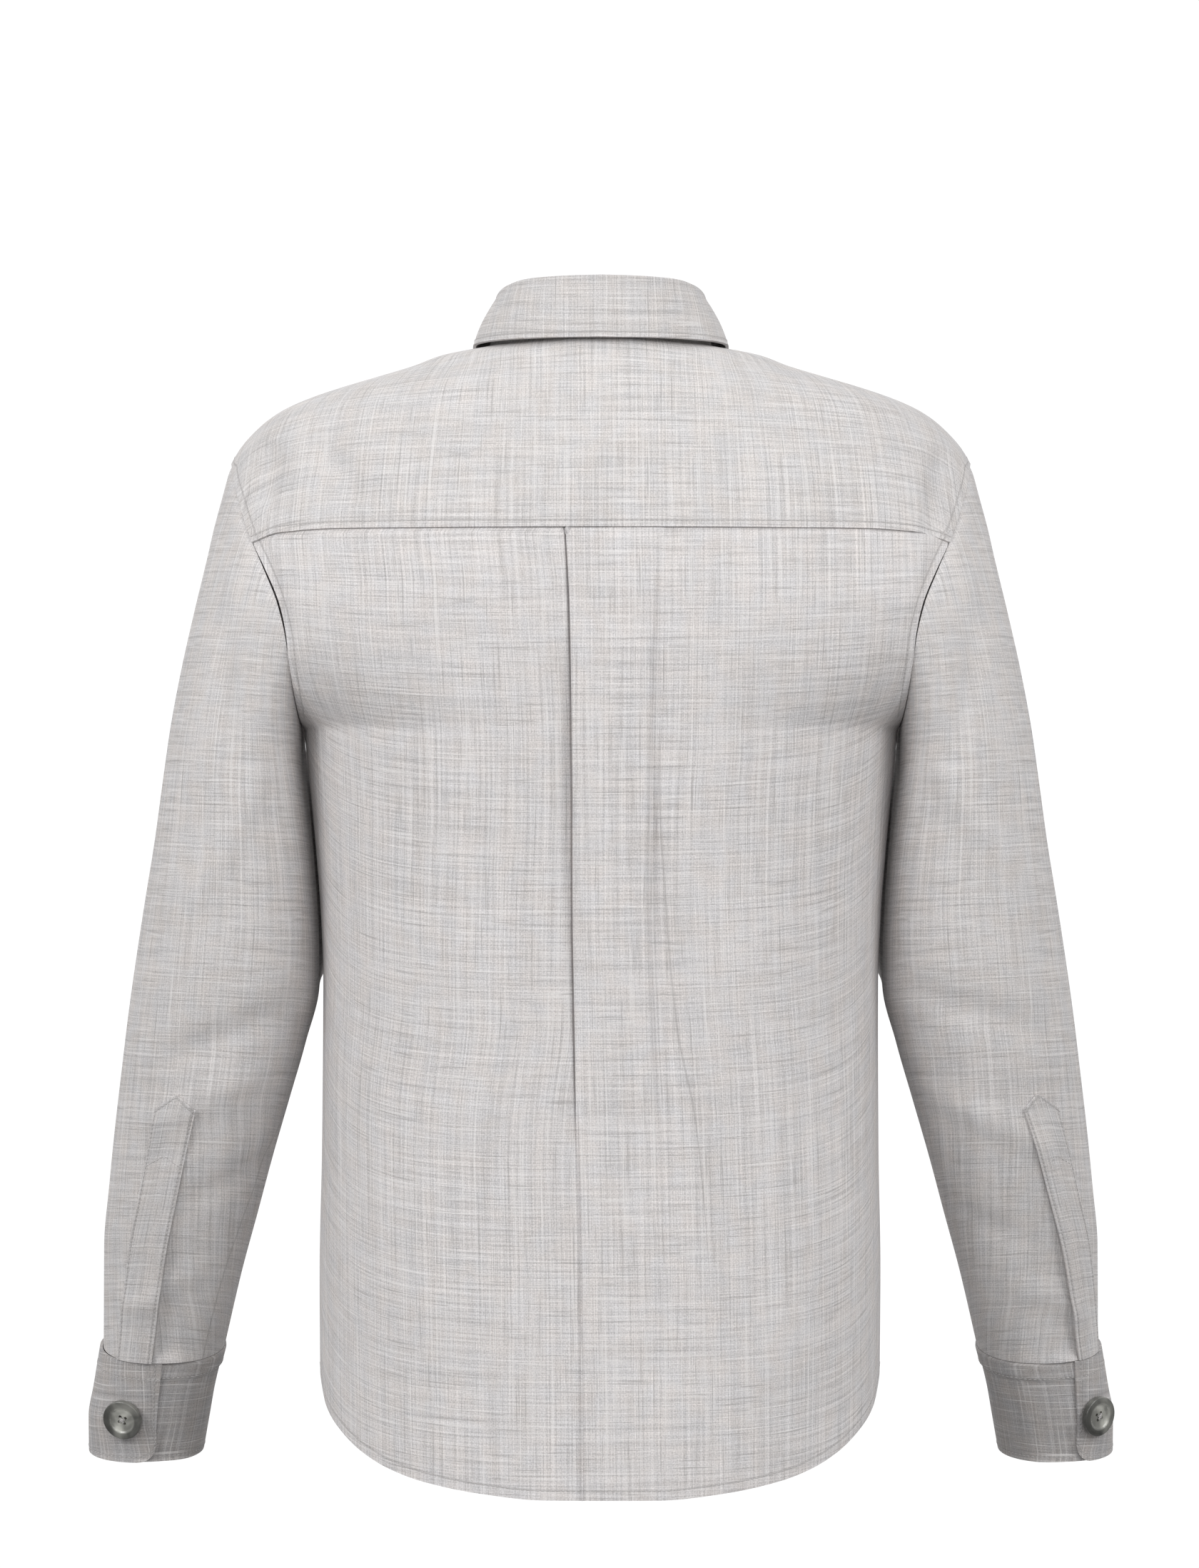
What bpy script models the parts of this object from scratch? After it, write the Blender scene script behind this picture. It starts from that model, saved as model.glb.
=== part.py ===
"""A long-sleeved overshirt of slubbed woven cloth, hollow, as if worn by a general figure.

Units in the tables and functions are millimetres; build_mesh turns them into metres. The front
faces -Y, the back +Y and the wearer's left is +X. The origin is the middle of the neck base, at
the height of the point where the shoulder line meets the neck.
"""

import math

import bmesh
import bpy
import numpy as np
from mathutils import Matrix, Vector

MM = 0.001

# Cloth
CLOTH = 1.2  # one layer
DOUBLE_CLOTH = 1.8  # collar, bands and cuffs, which are two layers pressed together
SEAM_GAP = 0.3
SLANT_GAP = 0.55  # half the gap at a seam whose walls slant or curve

# Body
SHOULDER_HALF_WIDTH = 217.0
ARMPIT_HALF_WIDTH = 174.5
ARMHOLE_TOP = -69.0
ARMHOLE_BOTTOM = -225.0
ARMHOLE_MIDDLE = (ARMHOLE_TOP + ARMHOLE_BOTTOM) / 2
ARMHOLE_HALF_HEIGHT = (ARMHOLE_TOP - ARMHOLE_BOTTOM) / 2
NECK_HALF_WIDTH = 66.0
NECK_BACK_DEPTH = 62.0
NECK_FRONT_DEPTH = 66.0
FRONT_YOKE_SEAM = 28.0  # how far forward of the shoulder ridge the yoke reaches
BACK_ROWS = 18
FRONT_ROWS = 16
YOKE_ROWS = 14
YOKE_OUTER_COLUMNS = 12
YOKE_NECK_COLUMNS = 12

# Centre back pleat
PLEAT_FOOT_LEFT = 2.6  # width of the drop beside the crisp fold
PLEAT_FOOT_RIGHT = 4.0  # and beside the soft one

# Collar
COLLAR_CLEARANCE = 3.4  # how far the leaf's outer face lies off the body

# Front
BAND_HALF_WIDTH = 18.0
NECK_COLUMNS = (18.3, 28.0, 37.0, 45.0, 51.5, 56.5, 60.0)  # places that follow the neckline's curve
BAND_PROUD = 0.5
UNDERLAP_DEPTH = 2.4  # how far the left front lies under the band
FRONT_BUTTONS = 7
FIRST_BUTTON = -102.0
BUTTON_SPACING = 80.0

# Sleeve and cuff
SLEEVE_SQUARENESS = 2.2
SLEEVE_SEGMENTS = 20
CUFF_SEAM = -586.0
CUFF_END = -647.0
CUFF_ROWS = 4
CUFF_CORNER = 10.0
CUFF_UNDERLAP = 26.0
CUFF_RADIUS = 37.0
CUFF_BUTTON = -620.0
CUFF_SEGMENTS = 26
PLACKET_PEAK = -434.0
PLACKET_SHOULDER = -443.0
PLACKET_WIDTH = 24.0
PLACKET_PROUD = 1.6
PLACKET_ROWS = 10
VIEW_DISTANCE = 3500.0  # the photograph's distance and height, from which the sizes were taken
VIEW_HEIGHT = -257.0

# Buttons, turned from one blank
BUTTON_DIAMETER = 24.0
BUTTON_THICKNESS = 3.8
BUTTON_DISH = 16.0
BUTTON_HOLE = 1.9
BUTTON_HOLE_SPREAD = 3.4
BUTTON_SEGMENTS = 14
BUTTON_LIFT = 0.6  # a flat button stands a little off the curved front


def smooth(places, values):
    """A function through the points that never swings past them."""
    order = np.argsort(places)
    places = np.array(places, float)[order]
    values = np.array(values, float)[order]
    steps = np.diff(places)
    slopes = np.diff(values) / steps
    tangents = np.zeros_like(values)
    tangents[0] = slopes[0]
    tangents[-1] = slopes[-1]
    for i in range(1, len(values) - 1):
        if slopes[i - 1] * slopes[i] > 0:
            tangents[i] = 2 * slopes[i - 1] * slopes[i] / (slopes[i - 1] + slopes[i])

    def at(place):
        place = min(max(place, places[0]), places[-1])
        i = min(max(int(np.searchsorted(places, place)) - 1, 0), len(steps) - 1)
        t = (place - places[i]) / steps[i]
        start = (1 + 2 * t) * (1 - t) ** 2 * values[i] + t * (1 - t) ** 2 * steps[i] * tangents[i]
        end = t * t * (3 - 2 * t) * values[i + 1] + t * t * (t - 1) * steps[i] * tangents[i + 1]
        return float(start + end)

    return at


def table(names, *rows):
    """One smooth function for each named column after the first, which is the place."""
    columns = list(zip(*rows))
    return {name: smooth(columns[0], column) for name, column in zip(names.split()[1:], columns[1:])}


RIDGE = table(
    "x z",
    (0, 14), (40, 8), (66, 0), (94.5, -5.5), (111.5, -11.8), (132, -18), (153.5, -24.4),
    (172, -30.7), (186.5, -37.2), (196, -43.4), (203, -49.6), (209, -56), (213.5, -62),
    (SHOULDER_HALF_WIDTH, ARMHOLE_TOP),
)
BODY = table(
    "z back front squareness",
    (14, 45, 26, 2.0),
    (2, 62, 40, 2.05),
    (-12, 73, 47, 2.1),
    (-30, 86, 53, 2.15),
    (-60, 99, 64, 2.2),
    (-85, 107, 74, 2.25),
    (-111, 113, 90, 2.3),
    (-150, 118.5, 108, 2.3),
    (-190, 121, 121, 2.3),
    (-225, 121.5, 127, 2.3),
    (-320, 118, 128, 2.3),
    (-450, 118, 128, 2.3),
    (-600, 121, 127, 2.3),
    (-670, 123, 126, 2.3),
)
# The armhole line down to the armpit, and below it the side seam
EDGE = table(
    "z x",
    (ARMHOLE_TOP, SHOULDER_HALF_WIDTH), (-91, 211), (-112, 203.5), (-135, 193.5), (-155, 185.5), (-175, 181),
    (-205, 177), (ARMHOLE_BOTTOM, ARMPIT_HALF_WIDTH), (-246, 172.5), (-272, 169.8), (-300, 167.3),
    (-330, 165), (-375, 163.3), (-470, 163.8), (-540, 165), (-600, 164.5), (-670, 163),
)
# How far the armhole reaches back and forward of the middle
ARMHOLE = table(
    "z back front",
    (ARMHOLE_TOP, 0, 0), (-75, 24, 17), (-85, 37, 28), (-100, 52, 42), (-112, 61, 52), (-135, 75, 67),
    (-155, 83, 76), (-172, 84, 78), (-190, 79, 74), (-205, 67, 63), (-216, 48, 46), (-222, 27, 26),
    (ARMHOLE_BOTTOM, 0, 0),
)
# The shirt-tail hem, by the share of the half width
HEM = table(
    "share back front",
    (0, -664, -655), (0.2, -664, -655), (0.42, -661, -652), (0.62, -655.5, -647),
    (0.74, -649.5, -641), (0.84, -641, -633), (0.92, -630, -623), (0.97, -619, -614), (1, -601, -601),
)
YOKE_SEAM = table("x z", (0, -110.3), (150, -110.3), (185, -112), (203, -118), (217, -124))
# The pleat's two folds, the loose crease beside the right one, and how far each stands out
PLEAT = table(
    "z fold_left fold_right crease raised crease_raised",
    (-110, 19.9, -32.1, -46, 3.0, 0.0),
    (-155, 17.6, -28.5, -42, 2.8, 0.2),
    (-235, 16.3, -25.6, -35, 2.5, 1.2),
    (-320, 15.9, -24.5, -38, 1.8, 1.9),
    (-394, 14.8, -26.5, -43, 1.3, 1.9),
    (-450, 13.8, -29.0, -54, 0.9, 1.3),
    (-540, 12.0, -32.0, -62, 0.4, 0.6),
    (-664, 11.0, -34.0, -68, 0.2, 0.2),
)
FOLD_LINE = table("angle z", (-90, -46), (-60, -19), (-30, 14), (0, 29), (45, 35.3), (90, 36))
LEAF_EDGE = table(
    "angle x y z",
    (-84, 50, -100, -105),
    (-70, 60, -84, -82),
    (-50, 70, -62, -48),
    (-25, 76, -40, -14),
    (0, 76, 4, 2.2),
    (30, 66, 42, 2.2),
    (60, 38, 65, 2.6),
    (90, 0, 73, 2.8),
)
SLEEVE_OUTER = table(
    "z x",
    (ARMHOLE_TOP, SHOULDER_HALF_WIDTH), (-75, 219), (-87, 222.2), (-106, 227.2), (-123, 231), (-157, 239),
    (-190, 246.3), (-224, 252.6), (-257, 257.3), (-291, 262), (-325, 267.5), (-358, 272.6),
    (-392, 277.4), (-425, 281.4), (-459, 285.4), (-493, 288.8), (-526, 291.7), (-586, 292),
)
SLEEVE_INNER = table(
    "z x",
    (ARMHOLE_BOTTOM, ARMPIT_HALF_WIDTH), (-246, 174.2), (-272, 171.5), (-300, 169), (-330, 166.8),
    (-358, 165.6),
    (-375, 165.6), (-409, 173.5), (-442, 183), (-476, 192.8), (-509, 201.6), (-543, 210.8), (-586, 220.8),
)
SLEEVE_SHAPE = table(
    "z back front tilt",
    (ARMHOLE_MIDDLE, 84, 78, 0),
    (-190, 80, 77, 0),
    (-240, 76, 75, 0),
    (-300, 70, 71, 0),
    (-369, 65, 66, 0),
    (-425, 60, 61, 0.03),
    (-509, 51, 52, 0.11),
    (-586, 41, 41, 0.2),
)
# Each ring of the sleeve: its outer and inner heights, and how far it has left the armhole's curve
SLEEVE_RINGS = (
    (-69, -225, 0.0), (-76, -226.5, 0.12), (-90, -230, 0.28), (-110, -236, 0.45), (-135, -244, 0.62),
    (-165, -256, 0.78), (-200, -272, 0.9), (-238, -292, 1.0), (-275, -315, 1.0), (-312, -338, 1.0),
    (-345, -362, 1.0), (-378, -388, 1.0), (-410, -414, 1.0), (-440, -440, 1.0), (-470, -470, 1.0),
    (-500, -500, 1.0), (-530, -530, 1.0), (-558, -558, 1.0), (CUFF_SEAM, CUFF_SEAM, 1.0),
)
CUFF_SHAPE = table(
    "z outer inner depth tilt",
    (CUFF_SEAM, 294.5, 221.0, 40.5, 0.2),
    (-610, 298.4, 227.0, 39.5, 0.18),
    (-627, 301.2, 230.0, 38.5, 0.16),
    (CUFF_END, 301.0, 233.5, 37.5, 0.14),
)
# How far the sleeve's inner front quarter lies round the body's side, in front of its widest line
SLEEVE_TUCK = table("z depth", (-230, 0), (-268, 20), (-352, 20), (-385, 7), (-412, 0))
TUCK_ACROSS = 0.714  # where round the sleeve it lies deepest, as shares of its depth and half width
TUCK_ALONG = 0.745
# How far a bent arm has swung forward at each height
ARM_SWING = table(
    "z forward",
    (ARMHOLE_TOP, 0), (-300, 0), (-369, 5), (-425, 15), (-509, 38), (-586, 63), (-647, 84),
)
# Turn of the sleeve's fittings on each side, in degrees from the outer edge towards the back
TURNS = {
    "left": {"placket_top": 90, "placket_end": 84, "lap_top": 93, "lap_end": 101, "button": 71},
    "right": {"placket_top": 81, "placket_end": 55, "lap_top": 62, "lap_end": 74, "button": 50},
}
MIRROR = {"left": 1, "right": -1}


def mix(start, end, share):
    return start + (end - start) * share


RIDGE_X = np.linspace(0, SHOULDER_HALF_WIDTH, 400)
RIDGE_Z = np.array([RIDGE["z"](x) for x in RIDGE_X])


def ridge_half_width(z):
    """Half the length of a level cut through the shoulders."""
    return float(np.interp(-z, -RIDGE_Z, RIDGE_X))


def armhole_depth(z, side):
    """How far the armhole reaches back (side 1) or forward (side -1) of the middle."""
    return ARMHOLE["back"](z) if side > 0 else ARMHOLE["front"](z)


def body_depth(z, side):
    return BODY["back"](z) if side > 0 else BODY["front"](z)


def section_half_width(z, side):
    if z >= ARMHOLE_TOP:
        return ridge_half_width(z)
    n = BODY["squareness"](z)
    inside = armhole_depth(z, side) / body_depth(z, side)
    return EDGE["x"](z) / (1 - inside**n) ** (1 / n)


def surface_y(x, z, side):
    """Depth of the body's outer face, without its sign."""
    n = BODY["squareness"](z)
    across = min(1.0, abs(x) / max(section_half_width(z, side), 1e-6))
    return body_depth(z, side) * (1 - across**n) ** (1 / n)


def height(x, y):
    """Height of the body's upper face over a point of the plan."""
    side = 1 if y >= 0 else -1
    low = ARMHOLE_BOTTOM
    high = RIDGE["z"](abs(x))
    for _ in range(40):
        middle = (low + high) / 2
        if surface_y(x, middle, side) > abs(y):
            low = middle
        else:
            high = middle
    return low


def body_point(x, z, side, out=0.0):
    """A point of the body's face, moved out along the section's own normal."""
    n = BODY["squareness"](z)
    wide = section_half_width(z, side)
    deep = body_depth(z, side)
    y = surface_y(x, z, side)
    slope = Vector((abs(x) ** (n - 1) / wide**n, y ** (n - 1) / deep**n))
    if slope.length > 0:
        slope.normalize()
    return Vector((x + math.copysign(slope.x, x) * out, side * (y + slope.y * out), z))


def column_share(x, z, side):
    """The even spacing of a panel's columns, which close up towards its edge."""
    n = BODY["squareness"](z)
    return math.copysign(math.asin(min(1.0, abs(x) / EDGE["x"](z)) ** (n / 2)) * 2 / math.pi, x)


def column_x(share, z):
    n = BODY["squareness"](z)
    reach = EDGE["x"](z) - SEAM_GAP / 2
    return math.copysign(reach * math.sin(abs(share) * math.pi / 2) ** (2 / n), share)


def build_mesh(name, rows, core, thickness, material, closed=False):
    """A sheet through rows of points, its faces turned away from core, given its thickness inwards."""
    bm = bmesh.new()
    grid = [[bm.verts.new(Vector(point) * MM) for point in row] for row in rows]
    count = len(grid[0])
    for upper, lower in zip(grid, grid[1:]):
        for i in range(count if closed else count - 1):
            j = (i + 1) % count
            bm.faces.new((upper[i], upper[j], lower[j], lower[i]))
    outward = 0.0
    for face in bm.faces:
        face.normal_update()
        centre = face.calc_center_median()
        outward += face.normal.dot(centre - Vector(core(centre / MM)) * MM) * face.calc_area()
    if outward < 0:
        bmesh.ops.reverse_faces(bm, faces=bm.faces)
    for face in bm.faces:
        face.smooth = True
    mesh = bpy.data.meshes.new(name)
    bm.to_mesh(mesh)
    bm.free()
    mesh.materials.append(material)
    piece = bpy.data.objects.new(name, mesh)
    bpy.context.scene.collection.objects.link(piece)
    wall = piece.modifiers.new("wall", "SOLIDIFY")
    wall.thickness = thickness * MM
    wall.offset = -1
    wall.use_quality_normals = True
    return piece


def body_core(point):
    return (0, 0, point[2])


def make_material(name, colour, roughness):
    material = bpy.data.materials.new(name)
    material.use_nodes = True
    shader = material.node_tree.nodes["Principled BSDF"]
    shader.inputs["Base Color"].default_value = (*colour, 1)
    shader.inputs["Roughness"].default_value = roughness
    shader.inputs["Metallic"].default_value = 0
    return material


# Body panels


def back_columns(z):
    """The (x, raised) of every column of the back at one height."""
    fold_left = PLEAT["fold_left"](z)
    fold_right = PLEAT["fold_right"](z)
    crease = PLEAT["crease"](z)
    raised = PLEAT["raised"](z)
    crease_raised = PLEAT["crease_raised"](z)
    foot_left = fold_left + PLEAT_FOOT_LEFT
    foot_right = fold_right - PLEAT_FOOT_RIGHT
    sunk = -0.3 * raised
    left = [column_x(mix(1, column_share(foot_left, z, 1), i / 9), z) for i in range(9)]
    right = [column_x(mix(column_share(crease - 9, z, 1), -1, i / 8), z) for i in range(1, 9)]
    columns = [(x, 0) for x in left]
    columns += [(foot_left, sunk), (fold_left, raised)]
    columns += [(mix(fold_left, fold_right, i / 4), 0.9 * raised) for i in (1, 2, 3)]
    columns += [(fold_right, raised), (foot_right, sunk)]
    columns += [(crease, crease_raised), (crease - 9, 0.2 * crease_raised)]
    columns += [(x, 0) for x in right]
    return columns


def panel_rows(columns_at, top_of, end_of, side, row_count, crowding):
    """Rows from the top edge to the hem, where each column has its own top and end."""
    count = len(columns_at(-300))
    tops = []
    ends = []
    for i in range(count):
        top = -110.0
        for _ in range(8):
            top = top_of(columns_at(top)[i][0])
        end = -640.0
        for _ in range(4):
            end = end_of(min(1.0, abs(columns_at(end)[i][0]) / EDGE["x"](end)))
        tops.append(top)
        ends.append(end)
    rows = []
    for j in range(row_count + 1):
        down = (j / row_count) ** crowding
        row = []
        for i in range(count):
            z = mix(tops[i], ends[i], down)
            x, raised = columns_at(z)[i]
            row.append(body_point(x, z, side, raised))
        rows.append(row)
    return rows


def make_back(cloth):
    rows = panel_rows(
        back_columns,
        lambda x: YOKE_SEAM["z"](abs(x)) - SLANT_GAP,
        HEM["back"],
        1,
        BACK_ROWS,
        1.0,
    )
    return build_mesh("back_panel", seam_clear(rows), body_core, CLOTH, cloth)


def seam_clear(rows):
    """Keeps the side edges half a seam gap off the side seam's plane."""
    for row in rows:
        for point in row:
            point.y = math.copysign(max(abs(point.y), SEAM_GAP / 2), point.y)
    return rows


def neck_y(x):
    """How far forward the neckline is at x."""
    share = min(1.0, abs(x) / NECK_HALF_WIDTH)
    return NECK_FRONT_DEPTH * math.sqrt(1 - share * share)


def front_top(x):
    return height(x, -max(FRONT_YOKE_SEAM, neck_y(x))) - SLANT_GAP


def side_columns(side, z):
    """The front's columns from the neck corner to the armhole or side seam."""
    start = column_share(NECK_COLUMNS[-1], z, -1)
    return [(column_x(mix(start, 1, i / 7) * side, z), 0) for i in range(1, 8)]


def left_front_columns(z):
    """The wearer's left front, which passes under the band."""
    under = [(x, -UNDERLAP_DEPTH) for x in (-15, 2, 11, BAND_HALF_WIDTH + 1)]
    return under + [(x, 0) for x in NECK_COLUMNS[1:]] + side_columns(1, z)


def right_front_columns(z):
    return [(-x, 0) for x in NECK_COLUMNS] + side_columns(-1, z)


def band_columns(z):
    return [(mix(-BAND_HALF_WIDTH, BAND_HALF_WIDTH, i / 4), BAND_PROUD) for i in range(5)]


def make_fronts(cloth):
    pieces = (
        ("front_left", left_front_columns, CLOTH),
        ("front_right", right_front_columns, CLOTH),
        ("front_band", band_columns, DOUBLE_CLOTH),
    )
    for name, columns, thickness in pieces:
        rows = panel_rows(columns, front_top, HEM["front"], -1, FRONT_ROWS, 1.4)
        build_mesh(name, seam_clear(rows), body_core, thickness, cloth)


def yoke_point(x, step):
    """A point of the yoke, at a step that runs evenly over the ridge from the back (+) to the front (-)."""
    squareness = BODY["squareness"](RIDGE["z"](abs(x)) - 30)
    z = RIDGE["z"](abs(x)) - abs(step) ** squareness
    side = 1 if step >= 0 else -1
    return Vector((x, side * surface_y(x, z, side), z))


def step_at(x, z, side):
    """The step that yoke_point needs to reach height z at x."""
    squareness = BODY["squareness"](RIDGE["z"](abs(x)) - 30)
    return side * max(0.0, RIDGE["z"](abs(x)) - z) ** (1 / squareness)


def yoke_end(share):
    """The yoke's armhole edge, from the back seam (share 0) over the ridge to the front seam (share 1)."""
    low = yoke_end_steps()
    step = mix(low[0], low[1], share)
    x = 214.0
    for _ in range(60):
        z = yoke_point(x, step).z
        x = mix(x, EDGE["x"](z) - SEAM_GAP / 2, 0.3)
    return x, step


def yoke_end_steps():
    x_back = EDGE["x"](-118) - SEAM_GAP / 2
    back = step_at(x_back, YOKE_SEAM["z"](x_back) + SLANT_GAP, 1)
    x_front = EDGE["x"](-74.2) - SEAM_GAP / 2
    front = step_at(x_front, height(x_front, -FRONT_YOKE_SEAM) + SLANT_GAP, -1)
    return back, front


def yoke_column(low_share, up, gap, rows):
    """Points from the back seam up to one point of the upper edge, given in plan, and gap above it."""
    points = []
    low_x = low_share * (EDGE["x"](-118) - SEAM_GAP / 2)
    low_step = step_at(low_x, YOKE_SEAM["z"](abs(low_x)) + SLANT_GAP, 1)
    side = 1 if up[1] >= 0 else -1
    up_step = step_at(up[0], height(up[0], up[1]) + gap, side)
    for j in range(rows + 1):
        share = j / rows
        end_x = yoke_end(share)[0]
        x = mix(low_share, up[0] / yoke_end(1.0)[0], share**3) * end_x
        points.append(yoke_point(x, mix(low_step, up_step, share)))
    return points


def make_yoke(cloth):
    """The yoke runs over both shoulders, round the back of the neck."""
    end_x = yoke_end(1.0)[0]
    corner = math.asin(FRONT_YOKE_SEAM / NECK_FRONT_DEPTH)
    corner_x = NECK_HALF_WIDTH * math.cos(corner)
    neck_share = 0.4
    uppers = []
    for i in range(YOKE_OUTER_COLUMNS):
        share = i / (YOKE_OUTER_COLUMNS - 1)
        x = mix(end_x, corner_x, share)
        uppers.append((mix(1, neck_share, share), (x, -FRONT_YOKE_SEAM), SLANT_GAP))
    for i in range(1, YOKE_NECK_COLUMNS + 1):
        share = i / YOKE_NECK_COLUMNS
        angle = mix(-corner, math.pi / 2, share)
        depth = NECK_BACK_DEPTH if angle >= 0 else NECK_FRONT_DEPTH
        point = ((NECK_HALF_WIDTH + 0.8) * math.cos(angle), (depth + 0.8) * math.sin(angle))
        uppers.append((mix(neck_share, 0, share), point, SLANT_GAP * max(0.0, 1 - 4 * share)))
    mirrored = [(-share, (-x, y), gap) for share, (x, y), gap in reversed(uppers[:-1])]
    columns = [yoke_column(share, up, gap, YOKE_ROWS) for share, up, gap in uppers + mirrored]
    rows = [list(row) for row in zip(*columns)]
    return build_mesh("yoke", rows, lambda p: (p[0] * 0.8, 0, -160), CLOTH, cloth)


# Collar


def folded_angle(angle):
    """The same place on the wearer's left half, from -90 at the front to 90 at the back."""
    return angle if angle <= 90 else 180 - angle


def neckline(angle, out=0.0):
    """A point of the neckline, on the body."""
    turn = math.radians(angle)
    depth = NECK_BACK_DEPTH if math.sin(turn) >= 0 else NECK_FRONT_DEPTH
    x = NECK_HALF_WIDTH * math.cos(turn)
    y = depth * math.sin(turn)
    return Vector((x + math.cos(turn) * out, y + math.sin(turn) * out, height(x, y)))


def fold_point(angle, out=0.0, up=0.0):
    """A point of the collar's fold line, on the top of the stand."""
    turn = math.radians(angle)
    depth = 56.0 if math.sin(turn) >= 0 else 62.0
    x = (57.0 + out) * math.cos(turn)
    y = (depth + out) * math.sin(turn)
    return Vector((x, y, FOLD_LINE["z"](folded_angle(angle)) + up))


def make_stand(cloth):
    """The stand runs from the under end round the neck to the lapping end."""
    start, end = -103.0, 283.0
    count = 36
    rows = [[], [], []]
    for i in range(count + 1):
        angle = mix(start, end, i / count)
        under = max(0.0, 1 - (angle - start) / 40)
        over = max(0.0, 1 - (end - angle) / 34)
        out = 1.3 * over - 1.3 * under
        shown = angle if angle <= 270 else angle - 360
        shown = shown if shown >= -90 else -180 - shown
        mirror = -1 if (angle < -90 or 90 < angle < 270) else 1
        low = neckline(angle, out)
        top = fold_point(shown if angle <= 90 else angle, out)
        if angle > 270 or angle < -90:
            top = fold_point(shown, out)
            top.x = abs(top.x) * mirror
        low.z += 2 * SLANT_GAP
        for j in range(3):
            rows[j].append(low.lerp(top, j / 2))
    return build_mesh("collar_stand", rows, body_core, DOUBLE_CLOTH, cloth)


def clear_of_body(point, clearance):
    """Moves a point of the leaf out, where it would sink into the body."""
    side = 1 if point.y >= 0 else -1
    rise = height(point.x, point.y) + clearance - point.z
    push = math.inf
    if point.z < RIDGE["z"](abs(point.x)):
        push = surface_y(point.x, point.z, side) + clearance - abs(point.y)
    if rise > 0 and push > 0:
        if rise < push:
            point.z += rise
        else:
            point.y += side * push
    return point


def make_leaf(cloth):
    """The leaf rolls over the top of the stand and falls to its outer edge."""
    reach = 174
    count = 36
    rows = [[] for _ in range(7)]
    for i in range(count + 1):
        angle = mix(90 - reach, 90 + reach, i / count)
        half = folded_angle(angle)
        mirror = 1 if angle <= 90 else -1
        edge = Vector((mirror * LEAF_EDGE["x"](half), LEAF_EDGE["y"](half), LEAF_EDGE["z"](half)))
        steep = 1 + 0.9 * min(1.0, max(0.0, (25 - half) / 40))
        roll = fold_point(angle, 3.2 * steep, -1.5)
        profile = [fold_point(angle, -0.4, 2.2 * steep), fold_point(angle, 1.6 * steep, 1.9 * steep), roll]
        for j in range(1, 5):
            point = roll.lerp(edge, j / 4)
            bulge = 1.5 * math.sin(math.pi * j / 4)
            turn = math.radians(angle)
            point.x += math.cos(turn) * bulge
            point.y += math.sin(turn) * bulge
            profile.append(clear_of_body(point, COLLAR_CLEARANCE))
        for row, point in zip(rows, profile):
            row.append(point)
    return build_mesh("collar_leaf", rows, lambda p: (0, 0, p[2] - 15), DOUBLE_CLOTH, cloth)


# Sleeves


def swing(point):
    """Swings a point of the arm forward. What is further from the view is larger than it looks."""
    forward = ARM_SWING["forward"](point[2])
    larger = 1 + forward / VIEW_DISTANCE
    return Vector((point[0] * larger, point[1] - forward, mix(VIEW_HEIGHT, point[2], larger)))


def sleeve_ring(side, outer_z, inner_z, left_armhole):
    """One ring of a sleeve, from its outer point round the back, the underarm and the front."""
    outer = Vector((SLEEVE_OUTER["x"](outer_z), 0, outer_z))
    inner = Vector((SLEEVE_INNER["x"](inner_z), 0, inner_z))
    centre = (outer + inner) / 2
    reach = (outer - inner) / 2
    power = mix(2.0, SLEEVE_SQUARENESS, left_armhole)
    ring = []
    for i in range(SLEEVE_SEGMENTS):
        turn = 2 * math.pi * i / SLEEVE_SEGMENTS
        along = math.copysign(abs(math.cos(turn)) ** (2 / power), math.cos(turn))
        across = math.copysign(abs(math.sin(turn)) ** (2 / power), math.sin(turn))
        point = centre + reach * along
        facing = "back" if across >= 0 else "front"
        armhole_z = ARMHOLE_MIDDLE + ARMHOLE_HALF_HEIGHT * along
        armhole_y = math.copysign(ARMHOLE[facing](armhole_z), across)
        straight = mix(ARMPIT_HALF_WIDTH, SHOULDER_HALF_WIDTH, (along + 1) / 2)
        point.x += (EDGE["x"](armhole_z) - straight) * (1 - left_armhole)
        point.x += SEAM_GAP + 0.5 * (1 - left_armhole)
        point.z -= 0.6 * (1 - left_armhole)
        point.y = mix(armhole_y, SLEEVE_SHAPE[facing](centre.z) * across, left_armhole)
        if along < 0 and across < 0:
            tuck = min(1.0, -across / TUCK_ACROSS) ** 2.5 * min(1.0, -along / TUCK_ALONG)
            point.x -= SLEEVE_TUCK["depth"](point.z) * tuck
        point.z -= SLEEVE_SHAPE["tilt"](centre.z) * point.y
        point.x *= MIRROR[side]
        ring.append(swing(point))
    return ring


def sleeve_core(side):
    def core(point):
        x = (SLEEVE_OUTER["x"](point[2]) + SLEEVE_INNER["x"](point[2])) / 2
        return swing((MIRROR[side] * x, 0, point[2] if point[2] < -250 else -150))

    return core


def make_sleeve(side, cloth):
    rings = []
    for outer_z, inner_z, left_armhole in SLEEVE_RINGS:
        if outer_z == CUFF_SEAM:
            outer_z = inner_z = CUFF_SEAM + SEAM_GAP / 2
        rings.append(sleeve_ring(side, outer_z, inner_z, left_armhole))
    return build_mesh(f"sleeve_{side}", rings, sleeve_core(side), CLOTH, cloth, closed=True)


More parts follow.
